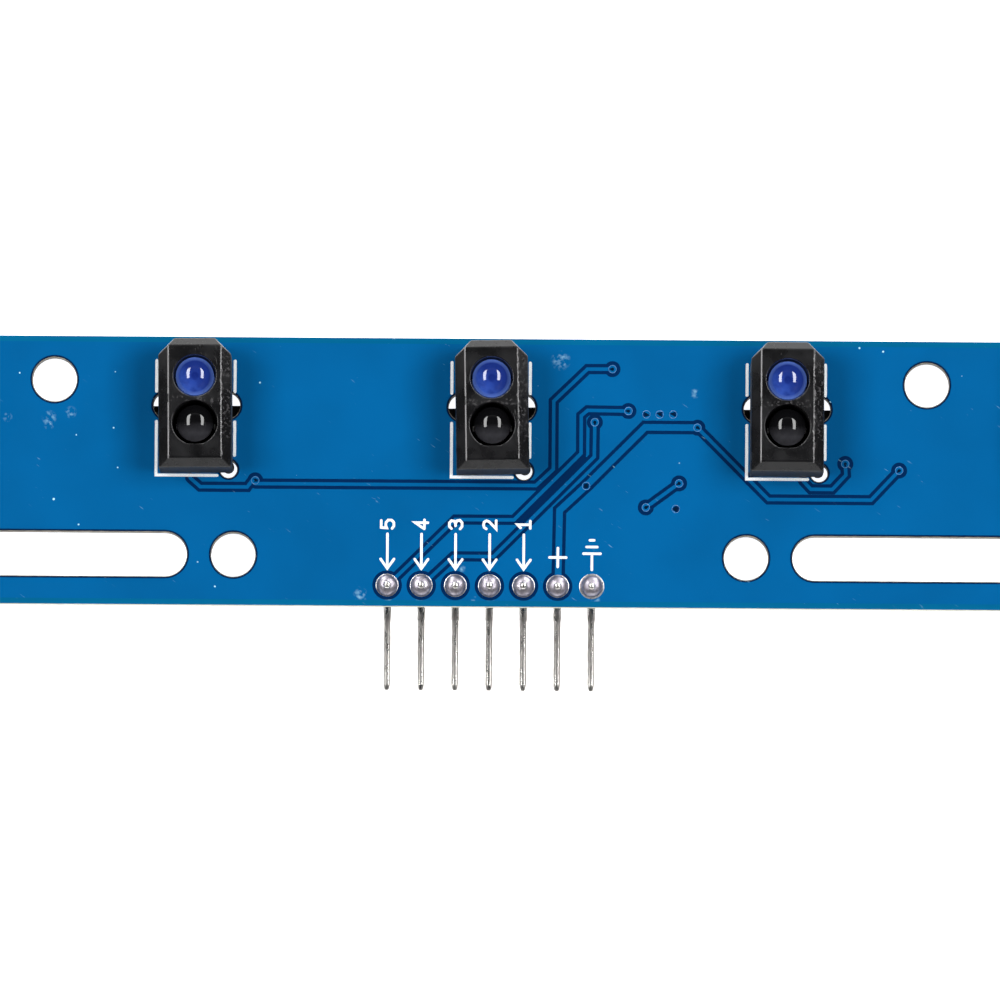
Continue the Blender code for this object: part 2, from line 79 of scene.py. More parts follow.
# The sensors
SENSOR_PITCH = 22.0
SENSOR_Y = 4.88
SEAT_TURN = {-1: 0.6, 0: 1.2}
SEAT_SHIFT = {-1: 0.05, 0: 0.1, 1: 0.04}
CHANNELS = range(-2, 3)
EYE_Y = {"emitter": 1.75, "detector": -1.75}
LEAD_X = 1.27
HOOK_HOLE = (2.22, 1.07)
PEG_HOLE = (2.4, -4.75, 0.7)
HOLE_DRIFT = 0.1
HOUSING_WIDTH = 5.42
HOUSING_REAR = 4.57
HOUSING_FRONT = 5.05
HOUSING_TOP = 6.99
BEVEL_HEIGHT = 0.7
SIDE_BEVEL = 0.74
REAR_BEVEL = 0.57
FRONT_BEVEL = 0.71
CORNER_CHAMFER = 1.22
WELL_RADIUS = {"emitter": 1.56, "detector": 1.66}
WELL_FLOOR = 2.0
LENS_RADIUS = {"emitter": 1.42, "detector": 1.36}
LENS_CURVE = 1.75
LENS_TOP = 6.44

# The header
PINS = 7
PIN_PITCH = 2.54
PIN_ROW_Y = -8.45
PIN_SIDE = 0.6
PIN_TIP_Y = -16.0
PIN_TOP = 0.75
PIN_RUN_Z = -5.09
PIN_BEND = 0.85
BLOCK_SIDE = 2.54

# The component side. A chip's own coordinates have their zero on the board's underside, with Z out of it.
CHIP_COLUMN = 6.0
CHIP_SIZE = (2.0, 1.25)
CHIP_END = 1.15
CHIP_GAP = 0.3
RESISTOR_Y = (7.2, 4.6, 2.0)
INDICATOR_Y = -1.2
INDICATOR_BASE = 0.35
CAPACITOR_PLACES = {"filter_capacitor": (4.6, -2.9), "supply_capacitor": (16.0, -4.0)}
IC_CENTRE = (10.6, 0.9)

# The studio, in metres and watts. Each strip is given by its ends on the right, and has a twin on the left.
STRIP_WIDTH = 0.2
STRIPS = [
    ("strip_high", Vector((0.5, -0.094, 0.74)), Vector((0.395, 0.644, 0.489)), 7.0),
    ("strip_low", Vector((0.35, 0.774, 0.297)), Vector((0.337, 0.832, 0.054)), 2.4),
]
SOFTBOX_SIZE = 0.6
SOFTBOXES = [
    ("softbox_left", Vector((-0.62, 0.05, 1.5)), 19.5),
    ("softbox_right", Vector((0.62, 0.05, 1.5)), 22.5),
]


# -------------------------------------------------------------------------------- outlines in the plane
def circle(x, y, radius, steps=40):
    turn = 2 * math.pi / steps
    return [(x + radius * math.cos(i * turn), y + radius * math.sin(i * turn)) for i in range(steps)]


def arc(x, y, radius, start, end, steps):
    span = math.radians(end - start)
    first = math.radians(start)
    return [
        (x + radius * math.cos(first + span * i / steps), y + radius * math.sin(first + span * i / steps))
        for i in range(steps + 1)
    ]


def rounded_box(half_x, half_y, radius, steps=6):
    outline = []
    x, y = half_x - radius, half_y - radius
    for cx, cy, start in ((x, y, 0), (-x, y, 90), (-x, -y, 180), (x, -y, 270)):
        outline += arc(cx, cy, radius, start, start + 90, steps)
    return outline


def slot(side, radius):
    inner, outer = SLOT_ENDS
    return arc(side * inner, SLOT_Y, radius, 90, 90 + side * 180, 20) + arc(
        side * outer, SLOT_Y, radius, 90 + side * 180, 90 + side * 360, 20
    )


def ribbon(points, width, cap_steps=6):
    """The closed outline of a stroke along these points, with mitred bends and round ends."""
    half = width / 2
    path = [Vector(point) for point in points]
    ways = [(b - a).normalized() for a, b in zip(path, path[1:])]
    left, right = [], []
    for i, point in enumerate(path):
        before, after = ways[max(i - 1, 0)], ways[min(i, len(ways) - 1)]
        across = Vector((-before.y - after.y, before.x + after.x)).normalized()
        reach = half / across.dot(Vector((-after.y, after.x)))
        left.append(tuple(point + across * reach))
        right.append(tuple(point - across * reach))
    last = math.degrees(math.atan2(ways[-1].y, ways[-1].x))
    first = math.degrees(math.atan2(ways[0].y, ways[0].x))
    end_cap = arc(*path[-1], half, last - 90, last + 90, cap_steps)
    start_cap = arc(*path[0], half, first + 90, first + 270, cap_steps)
    return right[1:-1] + end_cap + left[-2:0:-1] + start_cap


class Area:
    """Closed outlines that together cover part of the plane."""

    def __init__(self, outlines):
        self.outlines = []
        for outline in outlines:
            xs, ys = zip(*outline)
            self.outlines.append((outline, min(xs), max(xs), min(ys), max(ys)))

    def covers(self, x, y):
        for outline, low_x, high_x, low_y, high_y in self.outlines:
            if low_x <= x <= high_x and low_y <= y <= high_y and encloses(outline, x, y):
                return True
        return False


def encloses(outline, x, y):
    inside = False
    ax, ay = outline[-1]
    for bx, by in outline:
        if (ay > y) != (by > y) and x < ax + (y - ay) * (bx - ax) / (by - ay):
            inside = not inside
        ax, ay = bx, by
    return inside


def sheet(outlines, kind_of):
    """A flat mesh over the outlines, cut along all of them. kind_of(x, y) gives a face's material number,
    or None to leave it out."""
    points, edges = [], []
    for outline in outlines:
        first, count = len(points), len(outline)
        points += [Vector(point) for point in outline]
        edges += [(first + i, first + (i + 1) % count) for i in range(count)]
    corners, _, triangles, _, _, _ = delaunay_2d_cdt(points, edges, [], 0, 1e-5)
    bm = bmesh.new()
    verts = [bm.verts.new((corner.x, corner.y, 0.0)) for corner in corners]
    for triangle in triangles:
        middle = sum((corners[i] for i in triangle), Vector((0.0, 0.0))) / 3
        kind = kind_of(middle.x, middle.y)
        if kind is not None:
            bm.faces.new([verts[i] for i in triangle]).material_index = kind
    bmesh.ops.delete(bm, geom=[vert for vert in bm.verts if not vert.link_faces], context="VERTS")
    return bm


def thickened(bm, top, depth):
    """The flat sheet moved to a height and made solid below it."""
    bmesh.ops.translate(bm, verts=bm.verts, vec=(0.0, 0.0, top))
    made = bmesh.ops.extrude_face_region(bm, geom=bm.faces[:], use_keep_orig=True)["geom"]
    lower = [item for item in made if isinstance(item, bmesh.types.BMVert)]
    bmesh.ops.translate(bm, verts=lower, vec=(0.0, 0.0, -depth))
    bmesh.ops.recalc_face_normals(bm, faces=bm.faces)
    return bm


def prism(outline, low, high, bm=None):
    """A straight-sided solid on an outline, added to the mesh if one is given."""
    bm = bm or bmesh.new()
    lower = [bm.verts.new((x, y, low)) for x, y in outline]
    upper = [bm.verts.new((x, y, high)) for x, y in outline]
    sides = [
        bm.faces.new((lower[i - 1], lower[i], upper[i], upper[i - 1])) for i in range(len(outline))
    ]
    caps = [bm.faces.new(lower[::-1]), bm.faces.new(upper)]
    bmesh.ops.recalc_face_normals(bm, faces=sides + caps)
    return bm


# --------------------------------------------------------------------------------- solids and placing
def turned(profile, steps, bm=None, centre=(0.0, 0.0)):
    """A solid turned about Z from (radius, height) points that run from its top to its foot."""
    bm = bm or bmesh.new()
    rings = []
    for radius, height in profile:
        if radius < 1e-6:
            rings.append([bm.verts.new((centre[0], centre[1], height))])
        else:
            rings.append([bm.verts.new((x, y, height)) for x, y in circle(*centre, radius, steps)])
    faces = []
    for upper, lower in zip(rings, rings[1:]):
        for i in range(steps):
            j = (i + 1) % steps
            loop = [upper[i % len(upper)], lower[i % len(lower)], lower[j % len(lower)], upper[j % len(upper)]]
            unique = [vert for k, vert in enumerate(loop) if vert is not loop[k - 1]]
            faces.append(bm.faces.new(unique))
    for ring in (rings[0], rings[-1]):
        if len(ring) > 1:
            faces.append(bm.faces.new(ring))
    bmesh.ops.recalc_face_normals(bm, faces=faces)
    return bm


def add_ring(bm, profile, steps, centre=(0.0, 0.0)):
    """A ring whose section is the closed profile of (radius, height) points."""
    rings = [[bm.verts.new((x, y, z)) for x, y in circle(*centre, r, steps)] for r, z in profile]
    faces = []
    for a, b in zip(rings, rings[1:] + rings[:1]):
        faces += [bm.faces.new((a[i - 1], a[i], b[i], b[i - 1])) for i in range(steps)]
    bmesh.ops.recalc_face_normals(bm, faces=faces)
    return bm


def swept(stations, bm=None):
    """A solid through rings of points, one ring for each station, closed at both ends."""
    bm = bm or bmesh.new()
    rings = [[bm.verts.new(point) for point in station] for station in stations]
    count = len(rings[0])
    faces = [bm.faces.new(rings[0][::-1]), bm.faces.new(rings[-1])]
    for a, b in zip(rings, rings[1:]):
        faces += [bm.faces.new((a[i - 1], a[i], b[i], b[i - 1])) for i in range(count)]
    bmesh.ops.recalc_face_normals(bm, faces=faces)
    return bm


def block(low, high, bevel=0.0, segments=2, bm=None):
    """A box between two corners with its edges rounded."""
    own = bmesh.new()
    bmesh.ops.create_cube(own, size=1.0)
    size = Vector(high) - Vector(low)
    bmesh.ops.scale(own, verts=own.verts, vec=size)
    bmesh.ops.translate(own, verts=own.verts, vec=(Vector(high) + Vector(low)) / 2)
    if bevel:
        bmesh.ops.bevel(
            own, geom=own.edges[:], offset=bevel, segments=segments, profile=0.5, affect="EDGES"
        )
    if bm is None:
        return own
    kept = bpy.data.meshes.new("block")
    own.to_mesh(kept)
    own.free()
    bm.from_mesh(kept)
    bpy.data.meshes.remove(kept)
    return bm


def mesh_of(bm, name):
    mesh = bpy.data.meshes.new(name)
    bm.to_mesh(mesh)
    bm.free()
    return mesh


def with_modifiers(mesh, *steps):
    """The mesh after these modifiers. Each step is a kind and its settings."""
    worker = bpy.data.objects.new("worker", mesh)
    bpy.context.scene.collection.objects.link(worker)
    for kind, settings in steps:
        modifier = worker.modifiers.new(kind.lower(), kind)
        for key, value in settings.items():
            setattr(modifier, key, value)
    bpy.context.view_layer.update()
    result = bpy.data.meshes.new_from_object(worker.evaluated_get(bpy.context.evaluated_depsgraph_get()))
    bpy.data.objects.remove(worker)
    return result


def carved(mesh, cutters):
    """The mesh with each cutter's shape taken out of it."""
    helpers = []
    steps = []
    for cutter in cutters:
        helper = bpy.data.objects.new("cutter", cutter)
        bpy.context.scene.collection.objects.link(helper)
        helpers.append(helper)
        steps.append(("BOOLEAN", {"operation": "DIFFERENCE", "object": helper, "solver": "EXACT"}))
    result = with_modifiers(mesh, *steps)
    for helper in helpers:
        bpy.data.objects.remove(helper)
    return result


def shade(mesh, angle=35):
    mesh.shade_smooth()
    mesh.set_sharp_from_angle(angle=math.radians(angle))
    return mesh


def add_piece(name, mesh, materials, stands_for=(), place=Matrix.Identity(4)):
    """A finished piece on the board: it rides on the one body and stands for the CAD nodes named."""
    if isinstance(mesh, bmesh.types.BMesh):
        mesh = mesh_of(mesh, name)
    if not mesh.materials:
        for material in materials:
            mesh.materials.append(material)
    piece = bpy.data.objects.new(name, mesh)
    bpy.context.scene.collection.objects.link(piece)
    piece.matrix_world = BOARD_FRAME @ place
    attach(piece, "root")
    if stands_for:
        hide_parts(*stands_for)
    return piece


# ---------------------------------------------------------------------------------------- node helpers
def add_node(tree, kind, inputs=None, **settings):
    made = tree.nodes.new("ShaderNode" + kind)
    for key, value in settings.items():
        setattr(made, key, value)
    for key, value in (inputs or {}).items():
        if isinstance(value, bpy.types.NodeSocket):
            tree.links.new(value, made.inputs[key])
        else:
            made.inputs[key].default_value = value
    return made


def maths(tree, operation, a, b=0.0, clamp=False):
    return add_node(tree, "Math", {0: a, 1: b}, operation=operation, use_clamp=clamp).outputs[0]


def span(tree, value, low, high, to_low=0.0, to_high=1.0):
    """The value with its range low to high moved to another, and held inside it."""
    made = add_node(tree, "MapRange", {0: value, 1: low, 2: high, 3: to_low, 4: to_high})
    return made.outputs[0]


def blend(tree, share, first, second):
    made = add_node(tree, "Mix", data_type="RGBA")
    for index, value in ((0, share), (6, first), (7, second)):
        if isinstance(value, bpy.types.NodeSocket):
            tree.links.new(value, made.inputs[index])
        elif index == 0:
            made.inputs[0].default_value = value
        else:
            made.inputs[index].default_value = (*value, 1.0)
    return made.outputs[2]


def start_group(name, inputs, outputs):
    tree = bpy.data.node_groups.new(name, "ShaderNodeTree")
    for label, value in inputs:
        socket = tree.interface.new_socket(name=label, in_out="INPUT", socket_type="NodeSocketFloat")
        socket.default_value = value
    for label in outputs:
        tree.interface.new_socket(name=label, in_out="OUTPUT", socket_type="NodeSocketFloat")
    return tree, tree.nodes.new("NodeGroupInput").outputs, tree.nodes.new("NodeGroupOutput").inputs


def millimetres(tree):
    """Coordinates in millimetres on the piece, moved to another stretch of pattern on each piece."""
    place = add_node(tree, "TexCoord").outputs["Object"]
    chance = add_node(tree, "ObjectInfo").outputs["Random"]
    shift = maths(tree, "MULTIPLY", chance, 40.0)
    return add_node(tree, "VectorMath", {0: place, 1: shift}, operation="ADD").outputs[0]


def make_specks_group():
    """Scattered round specks, such as dust and nicks: a few of the cells of a pattern hold one each."""
    tree, given, out = start_group(
        "Scattered specks", [("Cell size", 1.0), ("Share of cells", 0.1), ("Speck radius", 0.06)], ["Specks"]
    )
    place = millimetres(tree)
    scale = maths(tree, "DIVIDE", 1.0, given["Cell size"])
    cells = add_node(tree, "TexVoronoi", {"Vector": place, "Scale": scale, "Randomness": 1.0})
    tones = add_node(tree, "SeparateColor", {0: cells.outputs["Color"]})
    bar = maths(tree, "SUBTRACT", 1.0, given["Share of cells"])
    chosen = maths(tree, "GREATER_THAN", tones.outputs[0], bar)
    size = maths(tree, "MULTIPLY", span(tree, tones.outputs[1], 0.0, 1.0, 0.45, 1.0), given["Speck radius"])
    reach = maths(tree, "MULTIPLY", cells.outputs["Distance"], given["Cell size"])
    edge = maths(tree, "MULTIPLY", size, 0.6)
    body = add_node(tree, "MapRange", {0: reach, 1: size, 2: edge, 3: 0.0, 4: 1.0}).outputs[0]
    tree.links.new(maths(tree, "MULTIPLY", body, chosen), out["Specks"])
    return tree


def make_scuffs_group():
    """Short rubbed marks that lie mostly along one direction, in patches."""
    tree, given, out = start_group(
        "Rubbed marks", [("Fineness", 6.0), ("Amount", 0.5), ("Lean", 0.6)], ["Marks"]
    )
    place = millimetres(tree)
    turned_place = add_node(tree, "VectorRotate", {"Vector": place, "Angle": given["Lean"]}).outputs[0]
    drawn = add_node(tree, "VectorMath", {0: turned_place, 1: (0.16, 1.0, 1.0)}, operation="MULTIPLY")
    lines = add_node(
        tree, "TexNoise", {"Vector": drawn.outputs[0], "Scale": given["Fineness"], "Detail": 3.0}
    ).outputs[0]
    patches = add_node(tree, "TexNoise", {"Vector": place, "Scale": 0.28, "Detail": 2.0}).outputs[0]
    level = span(tree, given["Amount"], 0.0, 1.0, 0.78, 0.52)
    fine = maths(tree, "SUBTRACT", lines, level)
    sharp = maths(tree, "MULTIPLY", fine, 14.0, clamp=True)
    broad = span(tree, patches, 0.52, 0.66)
    tree.links.new(maths(tree, "MULTIPLY", sharp, broad), out["Marks"])
    return tree


def make_grain_group():
    """A fine moulded or printed grain as a height, with slow cloudy variation beside it."""
    tree, given, out = start_group("Fine grain", [("Grain size", 0.1), ("Cloud size", 4.0)], ["Grain", "Cloud"])
    place = millimetres(tree)
    fine_scale = maths(tree, "DIVIDE", 1.0, given["Grain size"])
    cloud_scale = maths(tree, "DIVIDE", 1.0, given["Cloud size"])
    fine = add_node(tree, "TexNoise", {"Vector": place, "Scale": fine_scale, "Detail": 2.0}).outputs[0]
    cloud = add_node(tree, "TexNoise", {"Vector": place, "Scale": cloud_scale, "Detail": 3.0}).outputs[0]
    tree.links.new(fine, out["Grain"])
    tree.links.new(cloud, out["Cloud"])
    return tree


def make_streaks_group():
    """A dull film drawn out along one direction, and fine pits, as on plated or soldered metal."""
    tree, given, out = start_group("Drawn film", [("Across", 1.0), ("Along", 1.0)], ["Film", "Pits"])
    stretch = add_node(tree, "CombineXYZ", {0: given["Across"], 1: given["Along"], 2: given["Across"]})
    drawn = add_node(
        tree, "VectorMath", {0: millimetres(tree), 1: stretch.outputs[0]}, operation="MULTIPLY"
    ).outputs[0]
    film = add_node(tree, "TexNoise", {"Vector": drawn, "Scale": 3.0, "Detail": 4.0}).outputs[0]
    pits = add_node(tree, "TexNoise", {"Vector": drawn, "Scale": 14.0, "Detail": 2.0}).outputs[0]
    tree.links.new(film, out["Film"])
    tree.links.new(pits, out["Pits"])
    return tree


def make_fibres_group():
    """The glass fibres of a cut laminate, as fine level lines through its thickness."""
    tree, given, out = start_group("Laminate fibres", [("Fineness", 1.3)], ["Fibres"])
    place = add_node(tree, "TexCoord").outputs["Object"]
    layered = add_node(tree, "VectorMath", {0: place, 1: (1.2, 1.2, 9.0)}, operation="MULTIPLY").outputs[0]
    fibres = add_node(tree, "TexNoise", {"Vector": layered, "Scale": given["Fineness"], "Detail": 4.0})
    tree.links.new(fibres.outputs[0], out["Fibres"])
    return tree


def make_swirl_group():
    """Slow uneven colour in cast epoxy."""
    tree, given, out = start_group("Cast swirl", [("Scale", 1.6)], ["Swirl"])
    place = add_node(tree, "TexCoord").outputs["Object"]
    swirl = add_node(tree, "TexNoise", {"Vector": place, "Scale": given["Scale"], "Detail": 3.0}).outputs[0]
    tree.links.new(swirl, out["Swirl"])
    return tree


SPECKS = make_specks_group()
SCUFFS = make_scuffs_group()
GRAIN = make_grain_group()
STREAKS = make_streaks_group()
FIBRES = make_fibres_group()
SWIRL = make_swirl_group()


def use_group(tree, group, **values):
    made = tree.nodes.new("ShaderNodeGroup")
    made.node_tree = group
    for label, value in values.items():
        made.inputs[label.replace("_", " ")].default_value = value
    return made.outputs


def new_material(name, roughness=0.4, metallic=0.0, ior=1.5, coat=0.0):
    """A material with its Principled shader, whose constant values are set on its own sockets."""
    material = bpy.data.materials.new(name)
    material.use_nodes = True
    tree = material.node_tree
    shader = tree.nodes["Principled BSDF"]
    shader.inputs["Roughness"].default_value = roughness
    shader.inputs["Metallic"].default_value = metallic
    shader.inputs["IOR"].default_value = ior
    shader.inputs["Coat Weight"].default_value = coat
    shader.inputs["Coat Roughness"].default_value = 0.06
    return material, tree, shader


def bump(tree, shader, height, strength, distance):
    made = add_node(
        tree, "Bump", {"Height": height, "Strength": strength, "Distance": distance}
    )
    tree.links.new(made.outputs[0], shader.inputs["Normal"])


# ------------------------------------------------------------------------------------------- materials
def mask_material(name, colour, pale, specks=0.32, smudges=()):
    """Glossy blue solder mask: faintly cloudy, with dust specks, a few rubbed marks, and smudges where
    given as (x, y, radius) on the board."""
    material, tree, shader = new_material(name, ior=1.46)
    grain = use_group(tree, GRAIN, Grain_size=0.35, Cloud_size=9.0)
    dust = use_group(tree, SPECKS, Cell_size=1.5, Share_of_cells=specks, Speck_radius=0.11)
    marks = use_group(tree, SCUFFS, Fineness=5.0, Amount=0.36)
    darker = tuple(0.93 * value for value in colour)
    lighter = tuple(1.06 * value for value in colour)
    ground = blend(tree, span(tree, grain["Cloud"], 0.35, 0.65), darker, lighter)
    wear = maths(tree, "MAXIMUM", dust["Specks"], maths(tree, "MULTIPLY", marks["Marks"], 0.4))
    if smudges:
        wear = maths(tree, "MAXIMUM", wear, smudged(tree, smudges))
    tree.links.new(blend(tree, wear, ground, pale), shader.inputs["Base Color"])
    tree.links.new(span(tree, wear, 0.0, 1.0, 0.13, 0.6), shader.inputs["Roughness"])
    bump(tree, shader, grain["Grain"], 0.12, 0.00002)
    return material


def smudged(tree, smudges):
    """Pale broken-up smears at these places."""
    place = add_node(tree, "TexCoord").outputs["Object"]
    broken = add_node(tree, "TexNoise", {"Vector": place, "Scale": 2.6, "Detail": 4.0}).outputs[0]
    patch = span(tree, broken, 0.46, 0.68)
    total = 0.0
    for x, y, radius in smudges:
        reach = add_node(tree, "VectorMath", {0: place, 1: (x, y, 0.0)}, operation="DISTANCE").outputs["Value"]
        total = maths(tree, "ADD", total, span(tree, reach, radius, 0.4 * radius))
    return maths(tree, "MULTIPLY", maths(tree, "MULTIPLY", total, patch), 0.38)


def ink_material():
    material, tree, shader = new_material("white legend ink", ior=1.45)
    grain = use_group(tree, GRAIN, Grain_size=0.06, Cloud_size=0.5)
    tree.links.new(
        blend(tree, span(tree, grain["Grain"], 0.3, 0.6), (0.62, 0.66, 0.7), (0.86, 0.88, 0.88)),
        shader.inputs["Base Color"],
    )
    tree.links.new(span(tree, grain["Cloud"], 0.3, 0.7, 0.45, 0.65), shader.inputs["Roughness"])
    bump(tree, shader, grain["Grain"], 0.3, 0.00001)
    return material


def laminate_material(name, dark, light):
    """Cut glass-epoxy, with the fibre layers as fine lines through its thickness."""
    material, tree, shader = new_material(name, ior=1.5)
    fibres = use_group(tree, FIBRES)["Fibres"]
    tree.links.new(
        blend(tree, span(tree, fibres, 0.35, 0.65), dark, light),
        shader.inputs["Base Color"],
    )
    tree.links.new(span(tree, fibres, 0.3, 0.7, 0.5, 0.75), shader.inputs["Roughness"])
    bump(tree, shader, fibres, 0.4, 0.00003)
    return material


def black_plastic(name, colour, roughness, worn, housing=False):
    """Moulded black plastic with a fine grain, dust and rubbed marks. A housing is also worn at its top, and the
    pale lines along its top's long edges are partly painted highlight.
    """
    material, tree, shader = new_material(name, ior=1.46)
    grain = use_group(tree, GRAIN, Grain_size=0.09, Cloud_size=1.6)
    dust = use_group(tree, SPECKS, Cell_size=0.7, Share_of_cells=0.1, Speck_radius=0.05)
    marks = use_group(tree, SCUFFS, Fineness=9.0, Amount=worn, Lean=1.4)
    wear = maths(tree, "MAXIMUM", dust["Specks"], maths(tree, "MULTIPLY", marks["Marks"], 0.6))
    pale = tuple(0.04 + value for value in colour)
    mottled = blend(tree, span(tree, grain["Cloud"], 0.35, 0.65), colour, tuple(2.2 * value for value in colour))
    body = blend(tree, wear, mottled, pale)
    if housing:
        # rubbed carries real rubbed patches and pale edge lines that are partly painted highlight.
        rubbed = housing_wear_and_highlight(tree)
        body = blend(tree, rubbed, body, (0.3, 0.29, 0.3))
        wear = maths(tree, "MAXIMUM", wear, rubbed)
    tree.links.new(body, shader.inputs["Base Color"])
    cloudy = span(tree, grain["Cloud"], 0.3, 0.7, roughness - 0.05, roughness + 0.08)
    rough = maths(tree, "ADD", cloudy, maths(tree, "MULTIPLY", wear, 0.25), clamp=True)
    if housing:
        rough = maths(tree, "MAXIMUM", rough, matt_walls(tree))
    tree.links.new(rough, shader.inputs["Roughness"])
    bump(tree, shader, grain["Grain"], 0.25, 0.00002)
    return material


def matt_walls(tree):
    """A housing's walls are left matt by the mould, and only its top and bevels are smooth."""
    height = add_node(tree, "SeparateXYZ", {0: add_node(tree, "TexCoord").outputs["Object"]}).outputs[2]
    return span(tree, height, HOUSING_TOP - BEVEL_HEIGHT - 0.05, HOUSING_TOP - BEVEL_HEIGHT + 0.05, 0.7, 0.0)


def near(tree, value, centre, full, none):
    """One where a value is within the full distance of the centre, falling to nought at the other."""
    gap = maths(tree, "ABSOLUTE", maths(tree, "SUBTRACT", value, centre))
    return span(tree, gap, none, full)


def housing_wear_and_highlight(tree):
    """Where a housing is paler: rubbed patches on its right bevel and the wall between its wells, and lines along
    both long edges of its top that are partly rubbed wear and partly painted highlight.
    """
    parts = add_node(tree, "SeparateXYZ", {0: add_node(tree, "TexCoord").outputs["Object"]})
    x, y, z = parts.outputs[0], parts.outputs[1], parts.outputs[2]
    place = millimetres(tree)
    mottle = add_node(tree, "TexNoise", {"Vector": place, "Scale": 4.2, "Detail": 3.0}).outputs[0]
    ragged = add_node(tree, "TexNoise", {"Vector": place, "Scale": 1.9, "Detail": 3.0}).outputs[0]
    edge_x = HOUSING_WIDTH / 2 - SIDE_BEVEL
    jitter = maths(tree, "MULTIPLY", maths(tree, "SUBTRACT", ragged, 0.5), 0.5)
    # Pale lines along the top's long edges: partly rubbed wear, partly painted highlight.
    left = near(tree, x, -edge_x, 0.02, 0.065)
    right = near(tree, maths(tree, "ADD", x, jitter), edge_x, 0.01, 0.06)
    broken = maths(tree, "SUBTRACT", 1.0, near(tree, y, 0.05, 0.3, 0.36))
    lines = maths(tree, "ADD", maths(tree, "MULTIPLY", left, broken),
                  maths(tree, "MULTIPLY", right, span(tree, mottle, 0.4, 0.56)))
    upper = span(tree, z, HOUSING_TOP - 0.12, HOUSING_TOP - 0.06)
    lines = maths(tree, "MULTIPLY", lines, upper)
    spots = span(tree, mottle, 0.54, 0.62)
    bevel = maths(tree, "MULTIPLY", near(tree, x, edge_x + 0.35, 0.3, 0.45), span(tree, z, 6.2, 6.4))
    bevel = maths(tree, "MULTIPLY", bevel, near(tree, y, 0.2, 2.4, 3.6))
    wall = maths(tree, "MULTIPLY", near(tree, y, -0.05, 0.16, 0.34), near(tree, x, 0.0, 1.6, 1.9))
    wall = maths(tree, "MULTIPLY", wall, span(tree, z, 5.9, 6.6))
    patches = maths(tree, "MULTIPLY", maths(tree, "ADD", bevel, wall), maths(tree, "MULTIPLY", spots, 0.13))
    return maths(tree, "ADD", maths(tree, "MULTIPLY", lines, 0.5), patches, clamp=True)


def metal_material(name, bright, dull, roughness, across=1.0, along=1.0, depth=0.00002):
    """Tin or solder: bright metal with dull streaks and fine pits."""
    material, tree, shader = new_material(name, metallic=1.0)
    film = use_group(tree, STREAKS, Across=across, Along=along)
    share = span(tree, film["Film"], 0.38, 0.62)
    tree.links.new(blend(tree, share, bright, dull), shader.inputs["Base Color"])
    tree.links.new(span(tree, film["Film"], 0.3, 0.7, roughness, roughness + 0.18), shader.inputs["Roughness"])
    bump(tree, shader, film["Pits"], 0.35, depth)
    return material


def emitter_material():
    """Blue epoxy lens: paler at its rim as a painted highlight, lighter at its lower left as painted light, dark
    over the chip in its middle.
    Its faint emission is a painted glow, standing in for light that has gone through it and comes back out."""
    material, tree, shader = new_material("clear blue epoxy", roughness=0.04, ior=1.52, coat=0.15)
    place = add_node(tree, "TexCoord").outputs["Object"]
    parts = add_node(tree, "SeparateXYZ", {0: place})
    # Painted light: the lens is lighter towards its lower left.
    low_left = maths(tree, "MULTIPLY", maths(tree, "ADD", parts.outputs[0], parts.outputs[1]), -0.45)
    swirl = use_group(tree, SWIRL, Scale=1.7)["Swirl"]
    glow = maths(tree, "MULTIPLY", span(tree, low_left, -0.1, 0.7), span(tree, swirl, 0.35, 0.6, 0.4, 1.0))
    deep = blend(tree, glow, (0.008, 0.021, 0.145), (0.024, 0.064, 0.32))
    away = add_node(tree, "VectorMath", {0: place, 1: (1.0, 1.0, 0.0)}, operation="MULTIPLY").outputs[0]
    reach = add_node(tree, "VectorMath", {0: away}, operation="LENGTH").outputs["Value"]
    # Painted highlight: the lens is paler towards its rim.
    body = blend(tree, span(tree, reach, 1.12, 1.34), deep, (0.07, 0.13, 0.42))
    chip = span(tree, reach, 0.36, 0.2)
    shadow = maths(tree, "MULTIPLY", chip, span(tree, swirl, 0.3, 0.6, 0.4, 0.8))
    tone = blend(tree, shadow, body, (0.003, 0.01, 0.1))
    tree.links.new(tone, shader.inputs["Base Color"])
    tree.links.new(tone, shader.inputs["Emission Color"])
    # The emission is a painted glow: the lens is no lamp.
    shader.inputs["Emission Strength"].default_value = 0.32
    return material


def detector_material():
    """Black epoxy with a painted sheen: greyer towards its front, standing in for a reflection on the front of its
    dome.
    """
    material, tree, shader = new_material("black infrared epoxy", roughness=0.05, ior=1.4)
    swirl = use_group(tree, SWIRL, Scale=1.4)["Swirl"]
    parts = add_node(tree, "SeparateXYZ", {0: add_node(tree, "TexCoord").outputs["Object"]})
    # Painted sheen: the front of the lens is greyer.
    front = maths(tree, "MULTIPLY", span(tree, parts.outputs[1], 0.1, -0.7), span(tree, swirl, 0.3, 0.7, 0.6, 1.0))
    tone = blend(tree, front, (0.003, 0.003, 0.0035), (0.032, 0.032, 0.037))
    tree.links.new(tone, shader.inputs["Base Color"])
    return material


def glaze_material(name, first, second, roughness, size=0.4):
    """A small moulded or fired body, such as ceramic, glass film or package epoxy."""
    material, tree, shader = new_material(name, ior=1.5)
    grain = use_group(tree, GRAIN, Grain_size=0.08, Cloud_size=size)
    tree.links.new(
        blend(tree, span(tree, grain["Cloud"], 0.35, 0.65), first, second), shader.inputs["Base Color"]
    )
    tree.links.new(
        span(tree, grain["Grain"], 0.3, 0.7, roughness - 0.06, roughness + 0.1), shader.inputs["Roughness"]
    )
    bump(tree, shader, grain["Grain"], 0.2, 0.00001)
    return material


